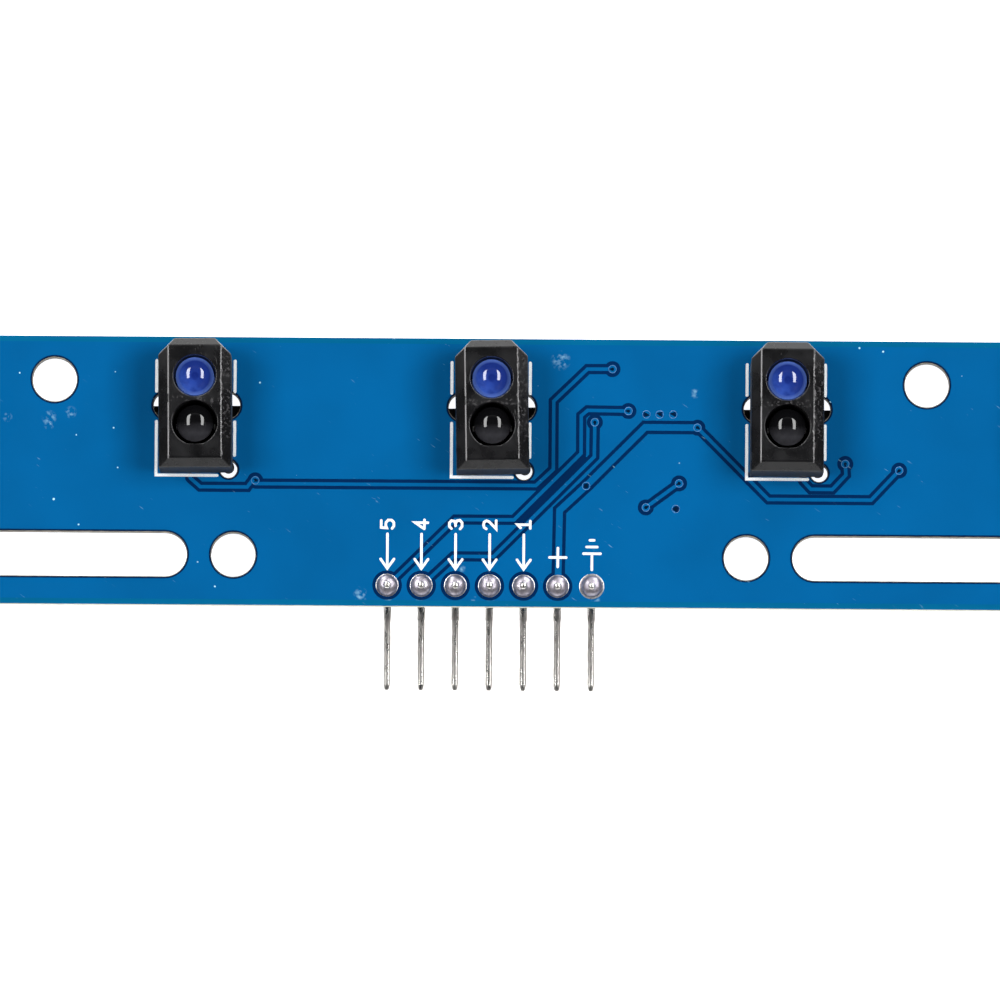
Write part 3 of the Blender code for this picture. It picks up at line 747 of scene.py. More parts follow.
PALE_MARK = (0.36, 0.66, 0.8)
SMUDGES = [
    (-32.9, 3.9, 0.6), (-32.9, 3.3, 0.4), (-31.3, 4.3, 0.5), (-36.0, 3.9, 0.4), (-9.6, -9.2, 0.6), (5.2, 8.4, 0.8),
    (-7.5, -9.5, 0.35), (-5.2, -9.5, 0.3), (-1.1, -9.5, 0.3), (0.1, -9.55, 0.3), (7.9, -9.45, 0.4),
    (-2.0, -7.2, 0.3), (15.2, 6.0, 0.4),
]
MASK_ON_COPPER = mask_material("blue mask on copper", (0.0003, 0.089, 0.255), PALE_MARK, 0.32, SMUDGES)
MASK_ON_LAMINATE = mask_material("blue mask on laminate", (0.0002, 0.016, 0.07), PALE_MARK, 0.04)
MASK_AT_EDGE = mask_material("blue mask at the edge", (0.0003, 0.1, 0.225), PALE_MARK)
# Pale ring over each via: partly thin mask, partly painted highlight.
MASK_OVER_VIA_WITH_HIGHLIGHT = mask_material("blue mask thin over a via with painted highlight", (0.08, 0.2, 0.42), PALE_MARK, 0.02)
# Painted shade: a dark ring at each opening's rim and a dark disc over each via's hole.
PAINTED_HOLE_SHADE = mask_material("painted shade at a hole's rim", (0.0006, 0.009, 0.03), PALE_MARK, 0.02)
INK = ink_material()
LAMINATE = laminate_material("cut glass-epoxy laminate", (0.42, 0.38, 0.25), (0.78, 0.76, 0.62))
# Painted shade: a darker copy of the laminate for the walls and ledges inside the openings.
SHADED_HOLE_LAMINATE = laminate_material("glass-epoxy with painted shade in holes", (0.12, 0.11, 0.09), (0.28, 0.25, 0.2))
HOUSING_BLACK = black_plastic("sensor housing plastic", (0.0022, 0.0022, 0.0026), 0.26, 0.5, True)
HEADER_BLACK = black_plastic("header plastic", (0.006, 0.006, 0.007), 0.4, 0.3)
PIN_TIN = metal_material("tinned pin wire", (0.82, 0.8, 0.77), (0.5, 0.47, 0.45), 0.2, 2.0, 0.25)
LEAD_TIN = metal_material("tinned lead", (0.78, 0.77, 0.76), (0.5, 0.49, 0.48), 0.24)
SOLDER = metal_material("solder", (0.44, 0.41, 0.46), (0.28, 0.26, 0.3), 0.34, depth=0.00004)
EMITTER_BLUE = emitter_material()
DETECTOR_BLACK = detector_material()
PACKAGE_BLACK = glaze_material("package epoxy", (0.012, 0.012, 0.013), (0.02, 0.02, 0.021), 0.5)
FILM_BLACK = glaze_material("resistor glass film", (0.006, 0.006, 0.009), (0.012, 0.012, 0.016), 0.3)
ALUMINA = glaze_material("white ceramic", (0.7, 0.7, 0.68), (0.8, 0.8, 0.78), 0.5)
TAN_CERAMIC = glaze_material("tan ceramic", (0.26, 0.15, 0.07), (0.34, 0.21, 0.11), 0.5)
CLEAR_EPOXY = glaze_material("pale lens epoxy", (0.72, 0.66, 0.5), (0.82, 0.78, 0.64), 0.12)


# ------------------------------------------------------------------------------------------- the board
def sensor_x(channel):
    return channel * SENSOR_PITCH


def seat(channel):
    """Where a sensor stands: a little askew and off centre in its holes."""
    turn = math.radians(SEAT_TURN.get(channel, 0.0))
    x = sensor_x(channel) + SEAT_SHIFT.get(channel, 0.0)
    return Matrix.Translation((x, SENSOR_Y, 0.0)) @ Matrix.Rotation(turn, 4, "Z")


def pin_x(number):
    return (number - (PINS + 1) / 2) * PIN_PITCH


def openings(extra=0.0):
    """The outlines of every slot and hole that shows, each made wider by this much."""
    outlines = [slot(side, SCREW_RADIUS + extra) for side in (-1, 1)]
    outlines += [circle(x, y, SCREW_RADIUS + extra, 64) for x, y in SCREW_HOLES]
    for channel in CHANNELS:
        # The drilled holes are all a little to the right of where they should be.
        x = sensor_x(channel) + HOLE_DRIFT
        outlines.append(circle(x + PEG_HOLE[0], SENSOR_Y + PEG_HOLE[1], PEG_HOLE[2] + extra))
        for side in (-1, 1):
            outlines.append(circle(x + side * HOOK_HOLE[0], SENSOR_Y, HOOK_HOLE[1] + extra, 48))
    return outlines


def lead_places():
    return [
        (sensor_x(channel) + side * LEAD_X, SENSOR_Y + y)
        for channel in CHANNELS
        for y in EYE_Y.values()
        for side in (-1, 1)
    ]


FRONT_TRACKS = [
    ([(-22.35, -0.55), (-21.6, -1.2), (-18.1, -1.2), (-17.65, -0.6)], TRACK),
    ([(-17.5, -0.94), (3.41, -0.94), (4.7, 0.28), (4.7, 5.37), (7.2, 7.78), (9.06, 7.79)], TRACK),
    ([(-7.62, -8.5), (-2.57, -3.52), (1.79, -3.52), (6.76, 1.48), (6.76, 4.3), (7.23, 4.7),
      (10.27, 4.67)], TRACK),
    ([(-5.08, -8.5), (-2.7, -6.27), (0.29, -6.27), (7.75, 1.24), (7.77, 3.81)], TRACK),
    ([(5.1, -8.5), (5.19, -2.78), (7.15, -0.95), (11.53, 3.46), (15.42, 3.46)], 0.5),
    ([(15.42, 3.46), (20.74, -1.86), (28.39, -1.86), (30.47, 0.36)], TRACK),
    ([(23.3, -0.45), (23.9, -1.08), (25.5, -1.08), (26.5, 0.0), (26.45, 0.83)], TRACK),
    ([(11.61, -2.52), (14.08, -0.71)], TRACK),
]
LONE_VIAS = [
    (-17.5, -0.7), (9.06, 7.79), (10.27, 4.67), (7.77, 3.81), (15.42, 3.46), (30.47, 0.36), (26.45, 0.83),
    (11.61, -2.52), (14.08, -0.71),
]
JOINED_VIAS = [(7.15, -0.95), (13.84, -2.62), (11.61, 4.43), (12.6, 4.43), (13.6, 4.43)]
VIAS = LONE_VIAS + JOINED_VIAS
BARE_STRIPS = [([(2.1, -3.83), (7.07, 1.17)], 0.2)]
BACK_LINES = [
    [(-17.5, -0.7), (-19.0, -2.2), (-35.5, -2.2), (-36.85, -1.2)],
    [(30.47, 0.36), (32.1, 2.0), (36.85, 2.0)],
    [(26.45, 0.83), (27.5, -0.2), (35.8, -0.2), (36.85, -1.2)],
    [(9.06, 7.79), (14.3, 7.79), (14.85, 7.2)],
    [(10.27, 4.67), (7.85, 4.71)],
    [(15.42, 3.46), (13.35, 3.44)],
    [(14.08, -0.71), (13.35, -0.37)],
    [(13.84, -2.62), (14.85, -4.0)],
    [(13.35, 2.17), (14.4, 2.17), (14.85, 2.0)],
    [(7.85, -1.64), (6.9, -1.64), (2.54, -6.0), (2.54, -8.5)],
    [(7.85, 0.9), (5.0, 0.9), (0.0, -4.1), (0.0, -8.5)],
    [(7.85, 2.17), (4.6, 2.17), (3.9, 1.47), (1.2, 1.47), (-2.54, -2.27), (-2.54, -8.5)],
]
PADS = [(pin_x(number), PIN_ROW_Y) for number in range(1, PINS + 1)]
GROUND_PAD = PINS - 1
PAD_RADIUS = 0.85
PAD_CLEARANCE = 1.1
PIN_HOLE = 0.5


def copper_side(name, mask_top, copper_top, tracks, lone_pads, bare_spots, bare_strips=()):
    """One face of the board: masked laminate, and masked copper raised on it with gaps round the tracks.
    A lone pad, given as (x, y, clearance), stands clear of the copper round it. A bare strip is where the
    copper between two tracks would be too narrow to hold, and is left off."""
    border = rounded_box(HALF_LENGTH, HALF_WIDTH, CORNER_RADIUS)
    pour_edge = rounded_box(HALF_LENGTH - POUR_INSET, HALF_WIDTH - POUR_INSET, CORNER_RADIUS)
    holes = openings() + bare_spots
    via_holes = [circle(x, y, VIA_HOLE, 16) for x, y in VIAS]
    gaps = openings(0.12) + [circle(x, y, VIA_CLEARANCE, 28) for x, y in LONE_VIAS]
    gaps += [ribbon(points, width + 2 * GAP) for points, width in tracks]
    gaps += [circle(x, y, clearance, 40) for x, y, clearance in lone_pads]
    gaps += [ribbon(points, width) for points, width in bare_strips]
    lands = [ribbon(points, width) for points, width in tracks]
    lands += [circle(x, y, VIA_LAND, 24) for x, y in VIAS]
    inside, hole, gap, land, pour = (
        Area([border]), Area(holes), Area(gaps), Area(lands), Area([pour_edge])
    )
    # Where the painted hole shade goes: a thin ring round each opening, and a disc over each via's hole.
    rims = openings(RIM) + via_holes
    rim = Area(rims)

    def laminate_kind(x, y):
        if hole.covers(x, y) or not inside.covers(x, y):
            return None
        # Painted shade at the rims and over the via holes.
        if rim.covers(x, y):
            return 2
        return 0 if pour.covers(x, y) else 1

    def copper_kind(x, y):
        if hole.covers(x, y) or not pour.covers(x, y) or rim.covers(x, y):
            return None
        return 0 if land.covers(x, y) or not gap.covers(x, y) else None

    lower = sheet([border, pour_edge, *holes, *rims], laminate_kind)
    add_piece(
        f"{name}_mask_on_laminate", thickened(lower, mask_top, MASK_SHEET),
        [MASK_ON_LAMINATE, MASK_AT_EDGE, PAINTED_HOLE_SHADE],
        ["circuit_board"],
    )
    upper = sheet([pour_edge, *holes, *gaps, *lands], copper_kind)
    add_piece(
        f"{name}_mask_on_copper", thickened(upper, copper_top, FOIL * 1.2), [MASK_ON_COPPER],
        ["circuit_board"],
    )


def build_board():
    border = rounded_box(HALF_LENGTH, HALF_WIDTH, CORNER_RADIUS)
    bare = [circle(x, y, PIN_HOLE, 24) for x, y in PADS]
    bare += [circle(x, y, 0.48, 16) for x, y in lead_places()]
    holes = openings(-HOLE_LEDGE) + bare
    hole = Area(holes)
    inside = Area([border])
    core = sheet([border, *holes, *openings()], lambda x, y: 0 if inside.covers(x, y) and not hole.covers(x, y) else None)
    depth = THICKNESS - 2 * (FOIL + MASK_SHEET) + 0.02
    core = thickened(core, -FOIL - MASK_SHEET + 0.01, depth)
    # Painted shade: faces inside the openings get the darker laminate.
    drilled = Area(openings(0.01))
    for face in core.faces:
        middle = face.calc_center_median()
        if drilled.covers(middle.x, middle.y):
            face.material_index = 1
    add_piece("board_core", core, [LAMINATE, SHADED_HOLE_LAMINATE], ["circuit_board"])
    lone = [(x, y, PAD_CLEARANCE) for i, (x, y) in enumerate(PADS) if i != GROUND_PAD]
    pad_openings = [circle(x, y, PAD_RADIUS - 0.03, 40) for x, y in PADS]
    front_bare = pad_openings + [circle(x, y, 0.48, 16) for x, y in lead_places()]
    copper_side("front", -FOIL, 0.0, FRONT_TRACKS, lone, front_bare, BARE_STRIPS)
    back_bare = pad_openings + [circle(x, y, 0.7, 24) for x, y in lead_places()]
    back_lone = lone + [(x, y, 1.0) for x, y in lead_places()]
    back_top = UNDERSIDE + FOIL
    copper_side("back", back_top + MASK_SHEET, back_top + FOIL * 0.2, back_tracks(), back_lone, back_bare)


def build_via_rings():
    """The raised edge of each plated hole, where the mask lies thin over it. Its pale colour is partly the thin mask
    and partly painted highlight.
    """
    bm = bmesh.new()
    for x, y in VIAS:
        add_ring(bm, [(0.255, -0.03), (0.265, 0.01), (0.28, 0.02), (0.3, 0.01), (0.31, -0.03)], 28, (x, y))
    add_piece("via_rings", shade(mesh_of(bm, "via_rings"), 60), [MASK_OVER_VIA_WITH_HIGHLIGHT], ["circuit_board"])


def build_legend():
    """The printed legend: a frame round each sensor, a number or sign beside each pin."""
    strokes = []
    line = 0.22
    for channel in CHANNELS:
        x = sensor_x(channel)
        left, right, top, bottom = x - 2.9, x + 2.94, 8.2, -0.35
        strokes += [
            ([(left, top), (left, 5.9)], line),
            ([(left, 3.66), (left, bottom), (x + 1.65, bottom)], line),
            ([(right, top), (right, 5.9)], line),
            ([(right, 3.66), (right, 1.15)], line),
        ]
    for i, (x, _) in enumerate(PADS):
        for points in pin_sign(i):
            strokes.append(([(x + px, py) for px, py in points], 0.19))
    outlines = [ribbon(points, width) for points, width in strokes]
    covered = Area(outlines)
    printed = sheet(outlines, lambda x, y: 0 if covered.covers(x, y) else None)
    add_piece("printed_legend", thickened(printed, 0.018, 0.03), [INK], ())


DIGITS = {
    1: [[(0.2, 0.76), (0.52, 1.0), (0.52, 0.0)], [(0.16, 0.0), (0.88, 0.0)]],
    2: [[(0.08, 0.78), (0.22, 0.95), (0.48, 1.0), (0.76, 0.95), (0.9, 0.76), (0.8, 0.55), (0.08, 0.0), (0.92, 0.0)]],
    3: [[(0.08, 0.84), (0.3, 1.0), (0.66, 1.0), (0.88, 0.84), (0.84, 0.62), (0.6, 0.52), (0.36, 0.52)],
        [(0.6, 0.52), (0.88, 0.4), (0.92, 0.17), (0.68, 0.0), (0.3, 0.0), (0.06, 0.15)]],
    4: [[(0.66, 0.0), (0.66, 1.0), (0.04, 0.3)], [(0.04, 0.28), (0.94, 0.28)]],
    5: [[(0.86, 1.0), (0.14, 1.0), (0.1, 0.56), (0.36, 0.64), (0.66, 0.62), (0.9, 0.45), (0.9, 0.18), (0.66, 0.0),
         (0.3, 0.0), (0.06, 0.14)]],
}


def pin_sign(index):
    """Strokes beside a pin, reading away from it: an arrow and a channel number, a plus or an earth sign."""
    tall, wide = 0.94, 0.74
    if index < 5:
        arrow = [[(0.0, -4.62), (0.0, -7.15)], [(-0.5, -6.5), (0.0, -7.2), (0.5, -6.5)]]
        number = [
            [(tall / 2 - v * tall, -4.26 + u * wide) for u, v in stroke] for stroke in DIGITS[5 - index]
        ]
        return arrow + number
    if index == 5:
        return [[(0.0, -5.6), (0.0, -7.0)], [(-0.62, -6.3), (0.62, -6.3)]]
    return [
        [(0.0, -7.2), (0.0, -6.1)],
        [(-0.63, -6.0), (0.63, -6.0)],
        [(-0.4, -5.5), (0.4, -5.5)],
        [(-0.16, -5.0), (0.16, -5.0)],
    ]


# ----------------------------------------------------------------------------------------- the sensors
def housing_shape():
    """The moulded block: upright walls, a bevelled top and the two rear corners cut off."""
    wall = HOUSING_TOP - BEVEL_HEIGHT
    half = HOUSING_WIDTH / 2
    cut = CORNER_CHAMFER
    bm = bmesh.new()
    lower = [
        (-half, -HOUSING_FRONT), (half, -HOUSING_FRONT), (half, HOUSING_REAR - cut),
        (half - cut, HOUSING_REAR), (-half + cut, HOUSING_REAR), (-half, HOUSING_REAR - cut),
    ]
    top_half, top_rear, top_front = half - SIDE_BEVEL, HOUSING_REAR - REAR_BEVEL, -HOUSING_FRONT + FRONT_BEVEL
    # The upright cut across each rear corner meets the bevels along the same slanting plane.
    reach = half + HOUSING_REAR - cut
    top_cut = min(top_rear, reach - top_half)
    upper = [
        (-top_half, top_front), (top_half, top_front), (top_half, top_cut),
        (min(top_half, reach - top_rear), top_rear), (-min(top_half, reach - top_rear), top_rear),
        (-top_half, top_cut),
    ]
    base = [bm.verts.new((x, y, 0.0)) for x, y in lower]
    waist = [bm.verts.new((x, y, wall)) for x, y in lower]
    crown = [bm.verts.new((x, y, HOUSING_TOP)) for x, y in upper]
    for ring_a, ring_b in ((base, waist), (waist, crown)):
        for i in range(6):
            bm.faces.new((ring_a[i - 1], ring_a[i], ring_b[i], ring_b[i - 1]))
    bm.faces.new(base[::-1])
    bm.faces.new(crown)
    bmesh.ops.remove_doubles(bm, verts=bm.verts, dist=0.001)
    bmesh.ops.dissolve_degenerate(bm, edges=bm.edges[:], dist=0.001)
    bmesh.ops.recalc_face_normals(bm, faces=bm.faces)
    return mesh_of(bm, "housing_shape")


def well_shape(kind):
    radius = WELL_RADIUS[kind]
    outline = circle(0.0, EYE_Y[kind], radius, 56)
    if kind == "detector":
        outline = [(x, max(y, EYE_Y[kind] - 0.95 * radius)) for x, y in outline]
    return mesh_of(prism(outline, WELL_FLOOR, HOUSING_TOP + 1.0), "well_shape")


def housing_mesh():
    body = carved(housing_shape(), [well_shape(kind) for kind in WELL_RADIUS])
    rounded = with_modifiers(
        body,
        ("BEVEL", {"width": 0.09, "segments": 3, "limit_method": "ANGLE", "angle_limit": math.radians(28),
                   "use_clamp_overlap": True, "harden_normals": False, "miter_outer": "MITER_ARC"}),
    )
    bm = bmesh.new()
    bm.from_mesh(rounded)
    for side in (-1, 1):
        add_hook(bm, side)
    turned([(0.44, 0.02), (0.44, -1.5), (0.35, -1.6)], 28, bm, (2.38, -4.6))
    mesh = shade(mesh_of(bm, "sensor_housing"), 30)
    return with_modifiers(mesh, ("WEIGHTED_NORMAL", {"keep_sharp": True, "weight": 100}))


def add_hook(bm, side):
    """A sprung prong through the board with a barb under its edge."""
    outline = [(1.95, 0.5), (1.95, -2.8), (2.6, -2.8), (3.35, -2.05), (3.35, -1.66), (2.6, -1.62), (2.6, 0.5)]
    near, far = -0.8, 0.06
    rings = [[(side * x, y, z) for x, z in outline] for y in (near, far)]
    swept(rings, bm)


def lens_mesh(name, radius, curve):
    """A round lens: a shallow dome on a straight body, with a small rolled edge between them."""
    edge = 0.06
    reach = math.degrees(math.asin((radius - edge) / curve))
    middle = LENS_TOP - curve
    dome = arc(0.0, middle, curve, 90, 90 - reach, 22)
    dome[0] = (0.0, LENS_TOP)
    foot = dome[-1][1] - edge
    roll = arc(radius - edge, foot, edge, 90 - reach, 0, 4)
    return shade(mesh_of(turned(dome + roll[1:] + [(radius, WELL_FLOOR)], 64), name), 60)


def lead_mesh():
    bm = bmesh.new()
    for side in (-1, 1):
        x = side * LEAD_X
        block((x - 0.225, -0.225, -2.8), (x + 0.225, 0.225, 2.2), 0.04, 1, bm)
    return shade(mesh_of(bm, "eye_leads"))


def build_sensors():
    housing = housing_mesh()
    lenses = {kind: lens_mesh(f"{kind}_lens", radius, LENS_CURVE) for kind, radius in LENS_RADIUS.items()}
    looks = {
        "emitter": (EMITTER_BLUE, "emitter_blue_epoxy"),
        "detector": (DETECTOR_BLACK, "detector_black_epoxy"),
    }
    leads = lead_mesh()
    for number, channel in enumerate(CHANNELS, start=1):
        place = seat(channel)
        add_piece(
            f"sensor_{number}_shell", housing, [HOUSING_BLACK], [f"sensor_{number}_housing"],
            place,
        )
        for kind, lens in lenses.items():
            eye = place @ Matrix.Translation((0.0, EYE_Y[kind], 0.0))
            material, slot_name = looks[kind]
            node = [f"sensor_{number}_{kind}"]
            add_piece(f"sensor_{number}_{kind}_lens", lens, [material], node, eye)
            add_piece(f"sensor_{number}_{kind}_leads", leads, [LEAD_TIN], node, eye)


# ------------------------------------------------------------------------------------------ the header
def square_ring(centre, across, along, half, corner, flare=1.0):
    """Points of a square with rounded corners, on the two directions given."""
    flat = rounded_box(half * flare, half * flare, corner * flare, 3)
    return [tuple(Vector(centre) + Vector(across) * u + Vector(along) * v) for u, v in flat]


def pin_mesh():
    """A square wire with rounded corners: up through the board, and bent forward under it."""
    half, corner = PIN_SIDE / 2, 0.13
    x_way = Vector((1.0, 0.0, 0.0))
    stations = []
    for depth, flare in ((0.0, 0.15), (0.01, 0.4), (0.04, 0.62), (0.1, 0.8), (0.2, 0.93), (0.35, 1.0)):
        centre = (0.0, PIN_ROW_Y, PIN_TOP - depth)
        stations.append(square_ring(centre, x_way, (0.0, 1.0, 0.0), half, 0.25, flare))
    bend_y, bend_z = PIN_ROW_Y - PIN_BEND, PIN_RUN_Z + PIN_BEND
    for i in range(11):
        angle = math.radians(-9 * i)
        out = Vector((0.0, math.cos(angle), math.sin(angle)))
        centre = Vector((0.0, bend_y, bend_z)) + out * PIN_BEND
        stations.append(square_ring(centre, x_way, out, half, corner))
    down = Vector((0.0, 0.0, -1.0))
    # Past the board the wire has been drawn rounder, and its tip is tapered.
    runs = [(-10.7, 1.0, 0.13), (-10.8, 0.95, 0.24), (PIN_TIP_Y + 0.45, 0.95, 0.24)]
    runs += [(PIN_TIP_Y + 0.12, 0.74, 0.22), (PIN_TIP_Y, 0.5, 0.2)]
    for y, flare, rounding in runs:
        stations.append(square_ring((0.0, y, PIN_RUN_Z), x_way, down, half, rounding, flare))
    return shade(mesh_of(swept(stations), "header_pin"), 40)


def header_block_mesh():
    half = BLOCK_SIDE / 2
    notch = 0.45
    bm = bmesh.new()
    for number in range(1, PINS + 1):
        x = pin_x(number)
        outline = [
            (x - half + notch, -half), (x + half - notch, -half), (x + half, -half + notch),
            (x + half, half - notch), (x + half - notch, half), (x - half + notch, half),
            (x - half, half - notch), (x - half, -half + notch),
        ]
        prism(outline, -BLOCK_SIDE, 0.0, bm)
    bmesh.ops.remove_doubles(bm, verts=bm.verts, dist=0.001)
    inner = [
        face for face in bm.faces
        if abs(face.normal.x) > 0.9 and abs(face.calc_center_median().x) < PINS * half - 0.1
    ]
    bmesh.ops.delete(bm, geom=inner, context="FACES_ONLY")
    edges = [edge for edge in bm.edges if edge.is_manifold and edge.calc_face_angle(0.0) > 0.5]
    bmesh.ops.bevel(bm, geom=edges, offset=0.06, segments=2, profile=0.5, affect="EDGES")
    return shade(mesh_of(bm, "header_block"))


def solder_dome(seed):
    """Solder round a pin on its pad: a full dome, a little uneven."""
    profile = [
        (0.0, 0.6), (0.2, 0.59), (0.38, 0.55), (0.52, 0.48), (0.64, 0.38), (0.73, 0.26), (0.79, 0.13), (0.81, 0.02),
        (0.81, -0.06),
    ]
    bm = turned(profile, 40)
    for vert in bm.verts:
        if vert.co.z > 0.03:
            spot = Vector((vert.co.x * 1.6, vert.co.y * 1.6, seed * 7.0))
            vert.co *= 1.0 + 0.06 * noise.noise(spot)
    return shade(mesh_of(bm, "solder_dome"), 60)


def pad_ring_mesh(radius=PAD_RADIUS):
    """The tinned rim of a pad that shows round its solder, with a rolled edge."""
    profile = [
        (radius - 0.14, -0.06), (radius - 0.13, 0.012), (radius - 0.06, 0.03), (radius - 0.02, 0.025),
        (radius, 0.008), (radius, -0.06),
    ]
    return shade(mesh_of(add_ring(bmesh.new(), profile, 48), "pad_ring"), 60)


def build_header():
    pin = pin_mesh()
    ring = pad_ring_mesh()
    wide_ring = pad_ring_mesh(PAD_RADIUS + 0.09)
    for number in range(1, PINS + 1):
        place = Matrix.Translation((pin_x(number), 0.0, 0.0))
        on_pad = Matrix.Translation((pin_x(number), PIN_ROW_Y, 0.0))
        node = [f"header_pin_{number}"]
        add_piece(f"pin_{number}", pin, [PIN_TIN], node, place)
        rim = wide_ring if number - 1 == GROUND_PAD else ring
        add_piece(f"pad_rim_{number}", rim, [LEAD_TIN], (), on_pad)
        add_piece(f"pin_solder_{number}", solder_dome(number), [SOLDER], (), on_pad)
    under = Matrix.Translation((0.0, PIN_ROW_Y, UNDERSIDE))
    add_piece(
        "pin_block", header_block_mesh(), [HEADER_BLACK], ["header_block"], under
    )


# ---------------------------------------------------------------------------------- the component side
def toward_sensor(channel):
    """The chips stand to the left of their sensor, except at the left-hand end of the board."""
    return -1 if channel == CHANNELS[0] else 1


def chip_x(channel):
    return sensor_x(channel) - toward_sensor(channel) * CHIP_COLUMN


def back_tracks():
    """Copper lines on the component side: chips to their sensor, and the package to the pins."""
    tracks = list(BACK_LINES)
    for channel in CHANNELS:
        side, x, chips = toward_sensor(channel), sensor_x(channel), chip_x(channel)
        near_end, far_end = chips + side * CHIP_END, chips - side * CHIP_END
        lead = x - side * LEAD_X
        tracks += [
            [(near_end, 7.2), (lead - side * 0.57, 7.2), (lead, SENSOR_Y + EYE_Y["emitter"])],
            [(near_end, 4.6), (lead - side * 1.47, 4.6), (lead, SENSOR_Y + EYE_Y["detector"])],
            [(near_end, 4.6), (near_end, INDICATOR_Y)],
            [(far_end, 7.2), (far_end, 2.0)],
        ]
    return [(points, TRACK) for points in tracks]


def chip_body(low_z, high_z, share, bevel):
    """The middle of a two-ended chip, hanging between two heights under the board."""
    half_x, half_y = CHIP_SIZE[0] / 2 * share, CHIP_SIZE[1] / 2
    return block((-half_x, -half_y, low_z), (half_x, half_y, high_z), bevel)


def chip_ends(low_z, high_z):
    """A chip's two tinned ends, each with a fillet of solder down to the board."""
    bm = bmesh.new()
    half_x, half_y = CHIP_SIZE[0] / 2, CHIP_SIZE[1] / 2 + 0.01
    reach = high_z - low_z
    for side in (-1, 1):
        inner, outer = sorted((side * (half_x - 0.4), side * (half_x + 0.01)))
        block((inner, -half_y, low_z - 0.01), (outer, half_y, high_z), 0.05, 2, bm)
        profile = [(0.0, 0.78 * reach), (0.1, 0.5 * reach), (0.24, 0.22 * reach), (0.45, 0.05), (0.45, -0.02)]
        rings = []
        for y, narrow in ((-half_y - 0.08, 0.85), (-half_y, 1.0), (half_y, 1.0), (half_y + 0.08, 0.85)):
            ring = [(side * (half_x - 0.2), y, high_z + 0.02)]
            ring += [(side * (half_x + out * narrow), y, high_z - up * narrow) for out, up in profile]
            ring.insert(1, (side * (half_x - 0.2), y, high_z - 0.7 * reach))
            rings.append(ring)
        swept(rings, bm)
    return shade(mesh_of(bm, "chip_ends"))


def add_chip(name, node, place, height, materials):
    """A resistor or capacitor: a body between two tinned ends. materials are the body and its coat, if any."""
    low_z = -CHIP_GAP - height
    body = chip_body(low_z, -0.12, 0.98, 0.04)
    add_piece(f"{name}_body", shade(mesh_of(body, "chip_body")), [materials[0]], [node], place)
    if len(materials) > 1:
        half_x, half_y = CHIP_SIZE[0] / 2 - 0.38, CHIP_SIZE[1] / 2 - 0.03
        coat = block((-half_x, -half_y, low_z - 0.008), (half_x, half_y, low_z + 0.06), 0.02)
        add_piece(f"{name}_coat", shade(mesh_of(coat, "chip_coat")), [materials[1]], [node], place)
    add_piece(f"{name}_ends", chip_ends(low_z + 0.01, 0.0), [LEAD_TIN], [node], place)


def add_indicator(name, node, place):
    """A chip indicator light: a pale base with tinned ends, and a moulded lens with the chip inside it."""
    base_low = -CHIP_GAP - INDICATOR_BASE
    base = chip_body(base_low, -0.12, 0.99, 0.03)
    add_piece(f"{name}_base", shade(mesh_of(base, "light_base")), [ALUMINA], [node], place)
    add_piece(f"{name}_ends", chip_ends(base_low + 0.01, 0.0), [LEAD_TIN], [node], place)
    foot_x, foot_y, draft = 0.6, CHIP_SIZE[1] / 2, 0.85
    rings = [
        [(x * scale, y * scale, z) for x, y in rounded_box(foot_x, foot_y - 0.01, 0.06, 3)]
        for z, scale in ((base_low + 0.02, 1.0), (base_low - 0.4, draft + 0.02), (base_low - 0.45, draft - 0.04))
    ]
    lens = shade(mesh_of(swept(rings), "light_lens"))
    add_piece(f"{name}_lens", lens, [CLEAR_EPOXY], [node], place)


def package_mesh():
    """A small-outline package: drafted above and below its parting line, with a dimple at its first lead."""
    half_x, half_y, depth = 1.95, 4.325, 0.725
    rings = []
    for z, scale in ((-depth, 0.94), (-depth + 0.06, 0.955), (0.0, 1.0), (depth, 0.96)):
        inset = depth * (1.0 - scale)
        rings.append([(x, y, z) for x, y in rounded_box(half_x - inset, half_y - inset, 0.08, 2)])
    body = mesh_of(swept(rings), "package")
    dimple = mesh_of(turned([(0.42, 0.4), (0.42, -0.05), (0.4, -0.09)], 28, None, (1.25, 3.55)), "dimple")
    dimple.transform(Matrix.Translation((0.0, 0.0, -depth - 0.31 + 0.4)) @ Matrix.Scale(-1.0, 4, (0, 0, 1)))
    return shade(carved(body, [dimple]), 25)


def package_leads_mesh(waist):
    """Fourteen gull-wing leads, each a bent strip from the package's waist to a flat foot on the board."""
    bm = bmesh.new()
    half, width = 0.1, 0.205
    path = [(1.7, waist), (2.05, waist), (2.18, waist + 0.06), (2.32, -0.24), (2.42, -0.1), (3.0, -0.1)]
    for side in (-1, 1):
        for row in range(7):
            y = (row - 3) * 1.27
            rings = []
            for i, (x, z) in enumerate(path):
                before, after = path[max(i - 1, 0)], path[min(i + 1, len(path) - 1)]
                way = Vector((after[0] - before[0], after[1] - before[1])).normalized()
                up = Vector((-way.y, way.x)) * half
                ends = [(x + up.x, z + up.y), (x - up.x, z - up.y)]
                rings.append([
                    (side * ends[0][0], y - width, ends[0][1]), (side * ends[0][0], y + width, ends[0][1]),
                    (side * ends[1][0], y + width, ends[1][1]), (side * ends[1][0], y - width, ends[1][1]),
                ])
            swept(rings, bm)
            block((side * 2.75 - 0.5, y - 0.29, -0.05), (side * 2.75 + 0.5, y + 0.29, 0.02), 0.02, 1, bm)
    return shade(mesh_of(bm, "package_leads"))


def joint_mesh():
    """Solder drawn up round a square lead that comes through the board."""
    profile = [(0.24, -1.0), (0.3, -0.92), (0.36, -0.7), (0.47, -0.42), (0.62, -0.19), (0.76, -0.06), (0.8, 0.02)]
    return shade(mesh_of(turned(profile, 28), "lead_joint"), 60)


